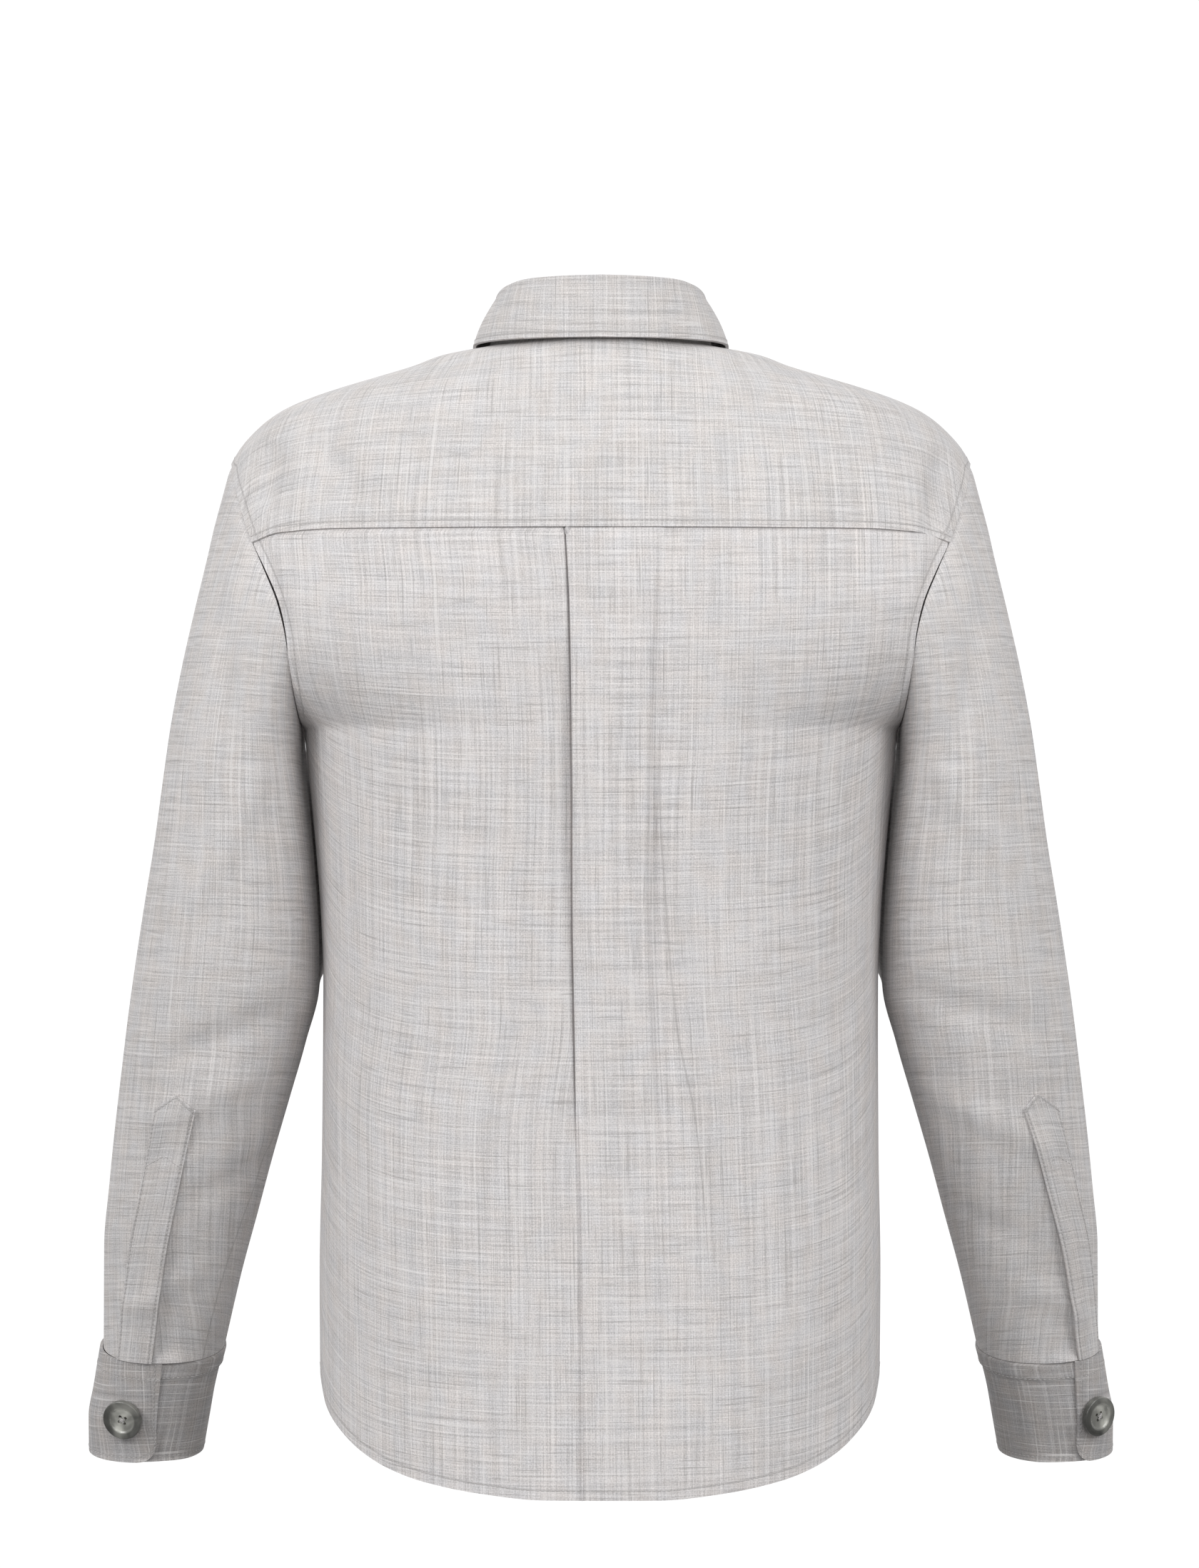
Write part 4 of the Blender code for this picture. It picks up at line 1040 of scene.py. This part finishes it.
# %% Make the collar's leaf
LEAF_EDGE = table(
    "angle x y z",
    (-84, 50, -100, -105),
    (-70, 60, -84, -82),
    (-50, 70, -62, -48),
    (-25, 76, -40, -14),
    (0, 75, 4, 1.0),
    (30, 65, 41, 1.0),
    (60, 37, 63.5, 1.2),
    (90, 0, 71, 1.2),
)
LEAF_REACH = 174
LEAF_COLUMNS = 180
ROLL_ROWS = 10
FALL_ROWS = 30
LEAF_CLEARANCE = 2.4
ROLL_OUT = 3.2
ROLL_UP = 2.2
ROLL_START_IN = 0.4
ROLL_START_BELOW = 1.5
FALL_BULGE = 1.5


def clear_of_body(points):
    """Moves points out or up, whichever is less, where they would sink into the body."""
    side = np.where(points[..., 1] >= 0, 1, -1)
    x, y, z = points[..., 0], points[..., 1], points[..., 2]
    rise = height(x, y) + LEAF_CLEARANCE - z
    push = surface_y(x, z, side) + LEAF_CLEARANCE - np.abs(y)
    deep = (rise > 0) & (push > 0) & (z < RIDGE["z"](np.abs(x)))
    up = deep & (rise < push)
    z = np.where(up, z + rise, z)
    y = np.where(deep & ~up, y + side * push, y)
    return np.stack([x, y, z], axis=-1)


angle = np.linspace(90 - LEAF_REACH, 90 + LEAF_REACH, LEAF_COLUMNS)
half = folded_angle(angle)
steep = 1 + 0.9 * np.clip((25 - half) / 40, 0, 1)
quarter = np.linspace(0, math.pi / 2, ROLL_ROWS)[:, None]
roll_out = -ROLL_START_IN + (ROLL_OUT * steep + ROLL_START_IN) * np.sin(quarter)
roll_up = -ROLL_START_BELOW + (ROLL_UP * steep + ROLL_START_BELOW) * np.cos(quarter)
rolled = fold_point(angle, roll_out, roll_up)
mirror = np.where(angle <= 90, 1, -1)
edge = np.stack([mirror * LEAF_EDGE["x"](half), LEAF_EDGE["y"](half), LEAF_EDGE["z"](half)], axis=-1)
share = np.linspace(0, 1, FALL_ROWS + 1)[1:, None, None]
outward = np.stack([np.cos(np.radians(angle)), np.sin(np.radians(angle)), 0 * angle], axis=-1)
fall = mix(rolled[-1], edge, share) + outward * FALL_BULGE * np.sin(math.pi * share)
leaf = np.concatenate([rolled, clear_of_body(fall)], axis=0)
leaf_normal = facing(leaf, body_core(leaf) - (0, 0, 15))
make_cloth(
    "overshirt_collar_leaf", leaf, leaf_normal, DOUBLE_CLOTH, "collar_cloth", "collar_leaf",
    sewn=(("bottom", 3, EVERYWHERE), ("left", 3, EVERYWHERE), ("right", 3, EVERYWHERE)),
)

# %% [markdown]
# ## Sleeves
# A sleeve is a tube. It starts as the armhole's own curve and becomes an oval that narrows to the
# cuff. The rings between lean: each has its own height at the outer and the inner side, as the arm
# hangs away from the body.

# %% Make the sleeves
SLEEVE_SQUARENESS = 2.2
CUFF_SEAM = -586.0
LAST_RING = 18
SLEEVE_ROWS = 170
SLEEVE_COLUMNS = 112
MIRROR = {"left": 1, "right": -1}
SLEEVE_OUTER = table(
    "z x",
    (ARMHOLE_TOP, SHOULDER_HALF_WIDTH), (-75, 219), (-87, 222.2), (-106, 227.2), (-123, 231), (-157, 239),
    (-190, 246.3), (-224, 252.6), (-257, 257.3), (-291, 262), (-325, 267.5), (-358, 272.6),
    (-392, 277.4), (-425, 281.4), (-459, 285.4), (-493, 288.8), (-526, 291.7), (CUFF_SEAM, 292),
)
SLEEVE_INNER = table(
    "z x",
    (ARMHOLE_BOTTOM, ARMPIT_HALF_WIDTH), (-246, 174.2), (-272, 171.5), (-300, 169), (-330, 166.8),
    (-358, 165.6), (-375, 165.6), (-409, 173.5), (-442, 183), (-476, 192.8), (-509, 201.6),
    (-543, 210.8), (CUFF_SEAM, 220.8),
)
SLEEVE_SHAPE = table(
    "z back front tilt",
    (ARMHOLE_MIDDLE, 84, 78, 0),
    (-190, 80, 77, 0),
    (-240, 76, 75, 0),
    (-300, 70, 71, 0),
    (-369, 65, 66, 0),
    (-425, 60, 61, 0.03),
    (-509, 51, 52, 0.11),
    (CUFF_SEAM, 41, 41, 0.2),
)
SLEEVE_RINGS = table(
    "ring outer inner left_armhole",
    (0, -69, -225, 0.0), (1, -76, -226.5, 0.12), (2, -90, -230, 0.28), (3, -110, -236, 0.45),
    (4, -135, -244, 0.62), (5, -165, -256, 0.78), (6, -200, -272, 0.9), (7, -238, -292, 1.0),
    (8, -275, -315, 1.0), (9, -312, -338, 1.0), (10, -345, -362, 1.0), (11, -378, -388, 1.0),
    (12, -410, -414, 1.0), (13, -440, -440, 1.0), (14, -470, -470, 1.0), (15, -500, -500, 1.0),
    (16, -530, -530, 1.0), (17, -558, -558, 1.0), (LAST_RING, -585.85, -585.85, 1.0),
)
# Creases by (degrees from the outer edge towards the back, height)
SLEEVE_CREASES = {
    "left": (
        (70, -463, 96, -464, 2.2, -0.6),
        (68, -468.5, 94, -469, 2.0, -0.6),
        (60, -150, 95, -260, 9, -2.4),
        (110, -250, 70, -330, 9, 2.1),
        (150, -380, 60, -420, 10, -2.7),
        (140, -420, 50, -455, 10, 2.4),
        (170, -470, 90, -500, 9, -2.1),
        (120, -540, 40, -560, 8, 1.8),
        (-60, -380, -140, -420, 10, -2.4),
        (-40, -520, -130, -548, 9, 2.0),
    ),
    "right": (
        (60, -150, 100, -250, 9, -2.4),
        (120, -240, 60, -310, 9, 2.1),
        (150, -370, 50, -405, 10, -2.7),
        (150, -430, 60, -470, 10, 2.4),
        (160, -500, 80, -525, 9, -2.0),
        (110, -548, 40, -565, 8, 1.8),
        (-70, -390, -150, -430, 10, -2.4),
        (-30, -530, -120, -552, 9, 2.0),
    ),
}


# The underarm seam turns into view above the left cuff
UNDERARM = {
    "left": table("z degrees", (-430, 185), (-470, 160), (-509, 145), (-551, 136), (-596, 131)),
    "right": table("z degrees", (-430, 185), (-596, 185)),
}
ARC_OF_DEGREE = 0.7
RECESS_DEPTH = 3.4
RECESS_TURN = 55
RECESS_TOP = -470.0
ARMHOLE_SINK = 0.5
SLEEVE_TUCK = table("z depth", (-230, 0), (-268, 20), (-352, 20), (-385, 7), (-412, 0))
TUCK_ACROSS = 0.714
TUCK_ALONG = 0.745
PLACKET_PEAK = -434.0
PLACKET_BOX = -474.5
TURNS = {
    "left": {"placket_top": 90, "placket_end": 84, "lap_top": 93, "lap_end": 101, "button": 71},
    "right": {"placket_top": 81, "placket_end": 55, "lap_top": 62, "lap_end": 74, "button": 50},
}
VIEW_HEIGHT = -257.0
ARM_SWING = table(
    "z forward",
    (ARMHOLE_TOP, 0), (-300, 0), (-369, 5), (-425, 15), (-509, 38), (CUFF_SEAM, 63), (-647, 84),
)


def swing(x, y, z):
    """Swings points of the arm forward. What is further from the camera is larger than it looks."""
    forward = ARM_SWING["forward"](z)
    larger = 1 + forward * MM / CAMERA_AWAY
    return np.stack(np.broadcast_arrays(x * larger, y - forward, mix(VIEW_HEIGHT, z, larger)), axis=-1)


def rounded(turn, squareness=SLEEVE_SQUARENESS):
    """The two coordinates of a squarish circle."""
    power = 2 / squareness
    return (
        np.sign(np.cos(turn)) * np.abs(np.cos(turn)) ** power,
        np.sign(np.sin(turn)) * np.abs(np.sin(turn)) ** power,
    )


def sleeve_grid(side):
    """Rings of a sleeve, each from the underarm seam round the front, the outside and the back."""
    ring = np.linspace(0, LAST_RING, SLEEVE_ROWS)[:, None]
    turn = np.linspace(-math.pi, math.pi, SLEEVE_COLUMNS + 1)
    outer_z, inner_z = SLEEVE_RINGS["outer"](ring), SLEEVE_RINGS["inner"](ring)
    left_armhole = SLEEVE_RINGS["left_armhole"](ring)
    outer_x, inner_x = SLEEVE_OUTER["x"](outer_z), SLEEVE_INNER["x"](inner_z)
    along, across = rounded(turn, mix(2.0, SLEEVE_SQUARENESS, left_armhole))
    x = (outer_x + inner_x) / 2 + (outer_x - inner_x) / 2 * along
    z = (outer_z + inner_z) / 2 + (outer_z - inner_z) / 2 * along
    middle_z = (outer_z + inner_z) / 2
    armhole_z = ARMHOLE_MIDDLE + ARMHOLE_HALF_HEIGHT * along
    on_back = across >= 0
    armhole_y = np.where(on_back, ARMHOLE["back"](armhole_z), -ARMHOLE["front"](armhole_z))
    free_y = np.where(on_back, SLEEVE_SHAPE["back"](middle_z), SLEEVE_SHAPE["front"](middle_z)) * across
    straight = mix(ARMPIT_HALF_WIDTH, SHOULDER_HALF_WIDTH, (along + 1) / 2)
    x = x + (EDGE["x"](armhole_z) - straight) * (1 - left_armhole)
    x = x + mix(CLOSE_SEAM, SEAM_GAP, left_armhole)
    y = mix(armhole_y, free_y, left_armhole)
    tuck = np.clip(-across / TUCK_ACROSS, 0, 1) ** 2.5 * np.clip(-along / TUCK_ALONG, 0, 1)
    x = x - SLEEVE_TUCK["depth"](z) * tuck
    z = z - CLOSE_SEAM * (1 - left_armhole) - SLEEVE_SHAPE["tilt"](middle_z) * y
    points = swing(MIRROR[side] * x, y, z)
    core = swing(MIRROR[side] * (outer_x + inner_x) / 2, 0 * y, middle_z)
    normal = facing(points, core, closed=True)
    girth = np.degrees(turn) + 0 * z
    left = LAST_RING - ring
    lift = press(girth, z, SLEEVE_CREASES[side]) * soft_step(ring / 3) * soft_step(left / 1.2)
    turns = TURNS[side]
    edge = mix(turns["placket_top"], turns["placket_end"], (z - PLACKET_PEAK) / (CUFF_SEAM - PLACKET_PEAK))
    past = girth - edge
    sunk = soft_step((past + 3) / 5) * (1 - soft_step(past / RECESS_TURN)) * soft_step((RECESS_TOP - z) / 80)
    lift = lift - RECESS_DEPTH * sunk * soft_step(left / 0.25)
    lift = lift - ARMHOLE_SINK * np.exp(-((arc(points, 0) / 3) ** 2))
    # Painted shade: beside the placket's free edge the seam attribute darkens a thin line on the sleeve,
    # standing in for the shadow in the gap under the edge; along the underarm seam it paints the seam
    # groove's shade
    placket_edge_shade = np.where(z < PLACKET_BOX, past * ARC_OF_DEGREE, NO_SEAM)
    underarm = (girth - UNDERARM[side]["degrees"](z)) * ARC_OF_DEGREE
    return points + normal * lift[..., None], normal, nearest(placket_edge_shade, underarm)


for side in MIRROR:
    grid, normal, seams = sleeve_grid(side)
    make_cloth(
        f"overshirt_sleeve_{side}", grid, normal, CLOTH, "sleeve_cloth", f"sleeve_{side}",
        closed=True, pressed=seams,
    )

# %% [markdown]
# ## Plackets and cuffs
# The slit above each cuff is bound by a pointed strip, sewn down round its edge and across in a box.
# The cuff is a band of double cloth that laps over itself beside the strip, with one button.

# %% Make the plackets
CUFF_END = -647.0
PLACKET_SHOULDER = -443.0
PLACKET_WIDTH = 24.0
PLACKET_PROUD = 1.6
PLACKET_ROWS = 90
PLACKET_COLUMNS = 14
SLEEVE_MIDDLE = 255.0


def oval_point(side, angle, z, out, outer, inner, depth, tilt):
    """A point over a leaning oval tube, at an angle from its outer edge towards the back."""
    along, across = rounded(np.radians(angle))
    y = (depth + out) * across
    x = (outer + inner) / 2 + ((outer - inner) / 2 + out) * along
    return swing(MIRROR[side] * x, y, z - tilt * y)


def sleeve_point(side, angle, z, out):
    outer, inner = SLEEVE_OUTER["x"](z) + SEAM_GAP, SLEEVE_INNER["x"](z) + SEAM_GAP
    return oval_point(
        side, angle, z, out, outer, inner, SLEEVE_SHAPE["back"](z), SLEEVE_SHAPE["tilt"](z)
    )


def placket_grid(side):
    turns = TURNS[side]
    end = CUFF_SEAM + SEAM_GAP
    share = np.linspace(0, 1, PLACKET_COLUMNS)
    peak = mix(PLACKET_SHOULDER, PLACKET_PEAK, 1 - np.abs(2 * share - 1))
    z = mix(peak, end, np.linspace(0, 1, PLACKET_ROWS)[:, None])
    free = mix(turns["placket_top"], turns["placket_end"], (z - PLACKET_PEAK) / (end - PLACKET_PEAK))
    radius = (SLEEVE_OUTER["x"](z) - SLEEVE_INNER["x"](z)) / 4 + SLEEVE_SHAPE["back"](z) / 2
    angle = free - np.degrees(PLACKET_WIDTH * share / radius)
    lift = press(angle, z, SLEEVE_CREASES[side]) * soft_step((z - CUFF_SEAM) / 34)
    points = sleeve_point(side, angle, z, PLACKET_PROUD)
    normal = facing(points, swing(MIRROR[side] * SLEEVE_MIDDLE, 0 * z, z))
    return points + normal * lift[..., None], normal


for side in MIRROR:
    grid, normal = placket_grid(side)
    rows = [(edge, 1.8, EVERYWHERE) for edge in ("left", "right", "top")]
    make_cloth(f"overshirt_placket_{side}", grid, normal, CLOTH, "sleeve_cloth", f"placket_{side}", sewn=rows)
    heights = grid[:, PLACKET_COLUMNS // 2, 2]
    box_row = float(np.interp(-PLACKET_BOX, -heights, np.arange(PLACKET_ROWS)))
    columns = np.linspace(0.8, PLACKET_COLUMNS - 1.8, 20)
    box = line_on(grid, normal, np.full(20, box_row), columns)
    sew(f"stitches_box_{side}", [box], "sleeve_cloth")

# %% Make the cuffs
CUFF_CORNER = 10.0
CUFF_UNDERLAP = 26.0
CUFF_RADIUS = 37.0
CUFF_ROWS = 60
CUFF_BAND = 10.5
CUFF_COLUMNS = 150
CUFF_MIDDLE = 264.0
CUFF_BAND_LIFT = 1.1
CUFF_LAP_DEPTH = 2.4
CUFF_SHAPE = table(
    "z outer inner depth tilt",
    (CUFF_SEAM, 294.5, 221.0, 40.5, 0.2),
    (-610, 298.4, 227.0, 39.5, 0.18),
    (-627, 301.2, 230.0, 38.5, 0.16),
    (CUFF_END, 301.0, 233.5, 37.5, 0.14),
)


def cuff_point(side, angle, z, out):
    sizes = [CUFF_SHAPE[column](z) for column in ("outer", "inner", "depth", "tilt")]
    return oval_point(side, angle, z, out, *sizes)


def cuff_grid(side):
    """The cuff from its lapping edge round the outside and front to the end under the lap."""
    turns = TURNS[side]
    down = np.linspace(0, 1, CUFF_ROWS)[:, None]
    around = 360 + math.degrees(CUFF_UNDERLAP / CUFF_RADIUS)
    gone = around * np.linspace(0, 1, CUFF_COLUMNS) ** 1.12
    corner = np.maximum(0.0, CUFF_CORNER - np.radians(gone) * CUFF_RADIUS)
    end = CUFF_END + CUFF_CORNER - np.sqrt(CUFF_CORNER**2 - corner**2)
    z = mix(CUFF_SEAM - SEAM_GAP / 2, end, down)
    angle = mix(turns["lap_top"], turns["lap_end"], down) - gone
    below = CUFF_SEAM - z
    band = CUFF_BAND_LIFT * soft_step((below - 0.2) / 1.5) * soft_step((CUFF_BAND + 0.8 - below) / 1.6)
    lapped = CUFF_LAP_DEPTH * np.clip((gone - 325) / 25, 0, 1)
    raised = band * soft_step((gone - 150) / 40) - lapped
    points = cuff_point(side, angle, z, raised)
    return points, facing(points, swing(MIRROR[side] * CUFF_MIDDLE, 0 * z, z))


for side in MIRROR:
    grid, normal = cuff_grid(side)
    rows = (("left", 4, EVERYWHERE), ("bottom", 3, EVERYWHERE), ("top", CUFF_BAND, EVERYWHERE))
    make_cloth(f"overshirt_cuff_{side}", grid, normal, DOUBLE_CLOTH, "cuff_cloth", f"cuff_{side}", sewn=rows)

# %% [markdown]
# ## Buttons
# The buttons are turned discs with a round rim and a dished middle, drilled four times and sewn on
# with crossed thread. One blank is modelled from a cylinder by insets and a bevel, and each button is
# a copy with its own mesh, set square on the cloth.

# %% Turn and drill one button
BUTTON_DIAMETER = 24.0
BUTTON_THICKNESS = 3.8
BUTTON_DISH = 16.0
BUTTON_HOLE = 1.9
BUTTON_HOLE_SPREAD = 3.4
RIM_WIDTH = (BUTTON_DIAMETER - BUTTON_DISH) / 2
RIM_ROUND = 0.85
DISH_DEPTH = 0.9
CENTRE_INSET = 2.2
CENTRE_DEPTH = 0.25
bpy.ops.object.select_all(action="DESELECT")
bpy.ops.mesh.primitive_cylinder_add(
    vertices=48,
    radius=BUTTON_DIAMETER / 2 * MM,
    depth=BUTTON_THICKNESS * MM,
    location=(0, 0, BUTTON_THICKNESS / 2 * MM),
)
blank = bpy.context.object
bpy.ops.object.transform_apply(location=True)
bpy.ops.object.mode_set(mode="EDIT")
bpy.ops.mesh.select_all(action="DESELECT")
bpy.ops.object.mode_set(mode="OBJECT")
for face in blank.data.polygons:
    face.select = face.normal.z > 0.9
bpy.ops.object.mode_set(mode="EDIT")
bpy.ops.mesh.select_mode(type="FACE")
bpy.ops.mesh.inset(thickness=RIM_WIDTH * MM)
bpy.ops.mesh.inset(thickness=DISH_DEPTH * MM, depth=-DISH_DEPTH * MM)
bpy.ops.mesh.inset(thickness=CENTRE_INSET * MM, depth=-CENTRE_DEPTH * MM)
bpy.ops.object.mode_set(mode="OBJECT")
rim = blank.modifiers.new("rim", "BEVEL")
rim.width = RIM_ROUND * MM
rim.segments = 4
rim.limit_method = "ANGLE"
rim.angle_limit = math.radians(35)
bpy.ops.object.modifier_apply(modifier="rim")
HOLES = [
    Vector((math.cos(turn), math.sin(turn), 0)) * BUTTON_HOLE_SPREAD / math.sqrt(2)
    for turn in (math.pi * (0.25 + i / 2) for i in range(4))
]
for place in HOLES:
    bpy.ops.mesh.primitive_cylinder_add(
        vertices=16,
        radius=BUTTON_HOLE / 2 * MM,
        depth=4 * BUTTON_THICKNESS * MM,
        location=place * MM,
    )
    drill = bpy.context.object
    only(blank)
    hole = blank.modifiers.new("hole", "BOOLEAN")
    hole.object = drill
    bpy.ops.object.modifier_apply(modifier="hole")
    bpy.data.objects.remove(drill)
only(blank)
bpy.ops.object.shade_smooth_by_angle(angle=math.radians(40))
# This share sets where the horn's colour gets painted shade on the rim and painted light in the dish
rim_share = blank.data.attributes.new("rim", "FLOAT", "POINT")
from_axis = [math.hypot(v.co.x, v.co.y) / MM for v in blank.data.vertices]
shares = [min(1.0, max(0.0, (r - BUTTON_DISH / 2 + 0.6) / 1.4)) for r in from_axis]
rim_share.data.foreach_set("value", shares)
blank.data.materials.clear()
blank.data.materials.append(horn)
print("the button blank has", len(blank.data.polygons), "faces")

# %% Sew the buttons on
BUTTON_LIFT = 0.6
CUFF_BUTTON_LIFT = 0.3
THREAD_WIDTH = 0.62
THREAD_HEIGHT = 0.8
THREAD_SPREAD = 0.35
THREAD_TOP = BUTTON_THICKNESS - 0.55
thread_lines = []
for ends in ((HOLES[0], HOLES[2]), (HOLES[1], HOLES[3])):
    run = ends[1] - ends[0]
    for offset in (-THREAD_SPREAD, THREAD_SPREAD):
        sideways = Vector((-run.y, run.x, 0)).normalized() * offset
        thread_lines.append([end + sideways for end in ends])


def set_button(name, seat, outward, down):
    """Sets a button on the cloth, its holes square to the down direction, with its crossed thread."""
    z_axis = Vector(outward).normalized()
    x_axis = Vector(down).cross(z_axis).normalized()
    y_axis = z_axis.cross(x_axis)
    matrix = Matrix((x_axis, y_axis, z_axis)).transposed().to_4x4()
    matrix.translation = (Vector(seat) + z_axis * SEAM_GAP) * MM
    disc = link_mesh(name.replace("button", "overshirt_button"), blank.data.copy())
    disc.data.transform(matrix)
    finish_piece(disc, "button_horn", name)
    beads = []
    faces = []
    for start, end in thread_lines:
        along = end - start
        beside = along.normalized().cross(Vector((0, 0, 1))) * THREAD_WIDTH
        basis = np.array([along, beside, Vector((0, 0, THREAD_HEIGHT))])
        first = len(beads) * len(BEAD_POINTS)
        beads.append(np.array((start + end) / 2 + Vector((0, 0, THREAD_TOP))) + BEAD_POINTS @ basis)
        faces += [[first + k for k in face] for face in BEAD_FACES]
    mesh = bpy.data.meshes.new(name)
    mesh.from_pydata((np.concatenate(beads) * MM).tolist(), [], faces)
    mesh.transform(matrix)
    mesh.shade_smooth()
    mesh.materials.append(thread)
    finish_piece(link_mesh(name.replace("button", "thread"), mesh), "button_horn")


FIRST_BUTTON = -102.0
CUFF_BUTTON = -620.0
BUTTON_SPACING = 80.0
for i in range(7):
    z = FIRST_BUTTON - BUTTON_SPACING * i
    seat = body_point(0, z, -1, BAND_PROUD + BUTTON_LIFT)
    down = Vector(body_point(0, z - 5, -1, BAND_PROUD) - body_point(0, z + 5, -1, BAND_PROUD)).normalized()
    outward = Vector((0, -1, 0)) - down * down.dot(Vector((0, -1, 0)))
    set_button(f"button_front_{i + 1}", seat, outward, down)
for side, turns in TURNS.items():
    z, turn = CUFF_BUTTON, turns["button"]
    seat = cuff_point(side, turn, z, CUFF_BUTTON_LIFT)
    run = Vector(cuff_point(side, turn + 4, z, 0) - cuff_point(side, turn - 4, z, 0))
    down = Vector(cuff_point(side, turn, z - 5, 0) - cuff_point(side, turn, z + 5, 0))
    outward = run.cross(down) * MIRROR[side]
    if outward.y < 0:
        outward = -outward
    set_button(f"button_cuff_{side}", seat, outward, down)
bpy.data.objects.remove(blank)

# %% Work the cuffs' buttonholes
BUTTONHOLE_REACH = 20.0
BUTTONHOLE_LIP = 0.7
for side, turns in TURNS.items():
    angle = turns["button"] - np.linspace(0, math.degrees(BUTTONHOLE_REACH / CUFF_RADIUS), 16)
    middle = swing(MIRROR[side] * CUFF_MIDDLE + 0 * angle, 0 * angle, CUFF_BUTTON + 0 * angle)
    lips = [cuff_point(side, angle, CUFF_BUTTON + up, 0.1) for up in (-BUTTONHOLE_LIP, BUTTONHOLE_LIP)]
    sew(f"stitches_buttonhole_{side}", [(lip, lip - middle) for lip in lips], "cuff_cloth")

# %% [markdown]
# ## What the cloth was cut to
# Each cloth piece is listed as a sheet with the size of its flat cut.

CUTS = [
    ("overshirt_back", (0.49, 0.56), 0.239, ["overshirt_yoke"], ["stitches_back"]),
    ("overshirt_front_left", (0.26, 0.65), 0.147, ["overshirt_yoke"], ["stitches_front_left"]),
    ("overshirt_front_right", (0.225, 0.65), 0.127, ["overshirt_yoke"], ["stitches_front_right"]),
    ("overshirt_band", (0.037, 0.62), None, ["overshirt_front_right"], ["stitches_band"]),
    ("overshirt_yoke", (0.48, 0.20), 0.074, [], ["stitches_yoke"]),
    ("overshirt_collar_stand", (0.49, 0.037), 0.0128, ["overshirt_yoke"], []),
    ("overshirt_collar_leaf", (0.55, 0.09), 0.0223, ["overshirt_collar_stand"], ["stitches_collar_leaf"]),
]
for side in MIRROR:
    sleeve = f"overshirt_sleeve_{side}"
    CUTS += [
        (sleeve, (0.50, 0.54), 0.161, ["overshirt_yoke"], []),
        (
            f"overshirt_placket_{side}", (0.0265, 0.156), None, [sleeve],
            [f"stitches_placket_{side}", f"stitches_box_{side}"],
        ),
        (
            f"overshirt_cuff_{side}", (0.265, 0.067), None, [sleeve],
            [f"stitches_cuff_{side}", f"stitches_buttonhole_{side}"],
        ),
    ]
print(len(CUTS), "sheets are declared")

# %% [markdown]
# ## Floor and light
# The garment hangs in front of a white ground, at the height of a wearer's shoulders, so the floor is
# far below the picture. The light is soft and comes from behind the camera and a little above, and it
# falls off towards the cuffs. The world is white to the camera and dimmer as a light.

# %% Make the floor and the lights
FLOOR = -1.45
bpy.ops.object.select_all(action="DESELECT")
bpy.ops.mesh.primitive_plane_add(size=4.4, location=(0, 0, FLOOR))
floor = bpy.context.object
floor.name = "floor"
floor_paint, floor_shader = new_material("floor_paint", 0.8)
seen = floor_paint.node_tree.nodes.new("ShaderNodeLightPath")
pale = floor_paint.node_tree.nodes.new("ShaderNodeMix")
pale.data_type = "RGBA"
pale.inputs[6].default_value = (0.25, 0.25, 0.25, 1)
pale.inputs[7].default_value = (0.85, 0.85, 0.85, 1)
floor_paint.node_tree.links.new(seen.outputs["Is Camera Ray"], pale.inputs["Factor"])
floor_paint.node_tree.links.new(pale.outputs[2], floor_shader.inputs["Base Color"])
floor.data.materials.append(floor_paint)

for name, location, aim, width, power, spread in (
    ("key_left", (1.9, 1.7, 0.7), (0, 0.1, -0.2), 1.2, 18.5, 150),
    ("key_right", (-1.9, 1.7, 0.7), (0, 0.1, -0.2), 1.2, 15, 150),
    ("key_behind", (0, 3.0, 1.0), (0, 0.1, -0.25), 1.2, 9.5, 150),
    ("front_fill", (0.4, -2.2, 0.6), (0, -0.1, -0.3), 1.4, 12, 160),
):
    bpy.ops.object.light_add(type="AREA", location=location)
    light = bpy.context.object
    light.name = name
    light.rotation_euler = (Vector(aim) - Vector(location)).to_track_quat("-Z", "Y").to_euler()
    light.data.shape = "RECTANGLE"
    light.data.size = light.data.size_y = width
    light.data.energy = power
    light.data.spread = math.radians(spread)
world = bpy.data.worlds.new("white_ground")
bpy.context.scene.world = world
world.use_nodes = True
ground = world.node_tree.nodes["Background"]
ground.inputs["Color"].default_value = (1, 1, 1, 1)
direction = world.node_tree.nodes.new("ShaderNodeTexCoord")
upright = world.node_tree.nodes.new("ShaderNodeSeparateXYZ")
falloff = world.node_tree.nodes.new("ShaderNodeMapRange")
for socket, value in (("From Min", -0.45), ("From Max", 0.1), ("To Min", 0.05), ("To Max", 0.70)):
    falloff.inputs[socket].default_value = value
seen = world.node_tree.nodes.new("ShaderNodeLightPath")
strength = world.node_tree.nodes.new("ShaderNodeMix")
strength.inputs["B"].default_value = 1.05
world.node_tree.links.new(direction.outputs["Generated"], upright.inputs[0])
world.node_tree.links.new(upright.outputs["Z"], falloff.inputs["Value"])
world.node_tree.links.new(falloff.outputs[0], strength.inputs["A"])
world.node_tree.links.new(seen.outputs["Is Camera Ray"], strength.inputs["Factor"])
world.node_tree.links.new(strength.outputs[0], ground.inputs["Strength"])
bpy.context.scene.view_settings.view_transform = "Standard"
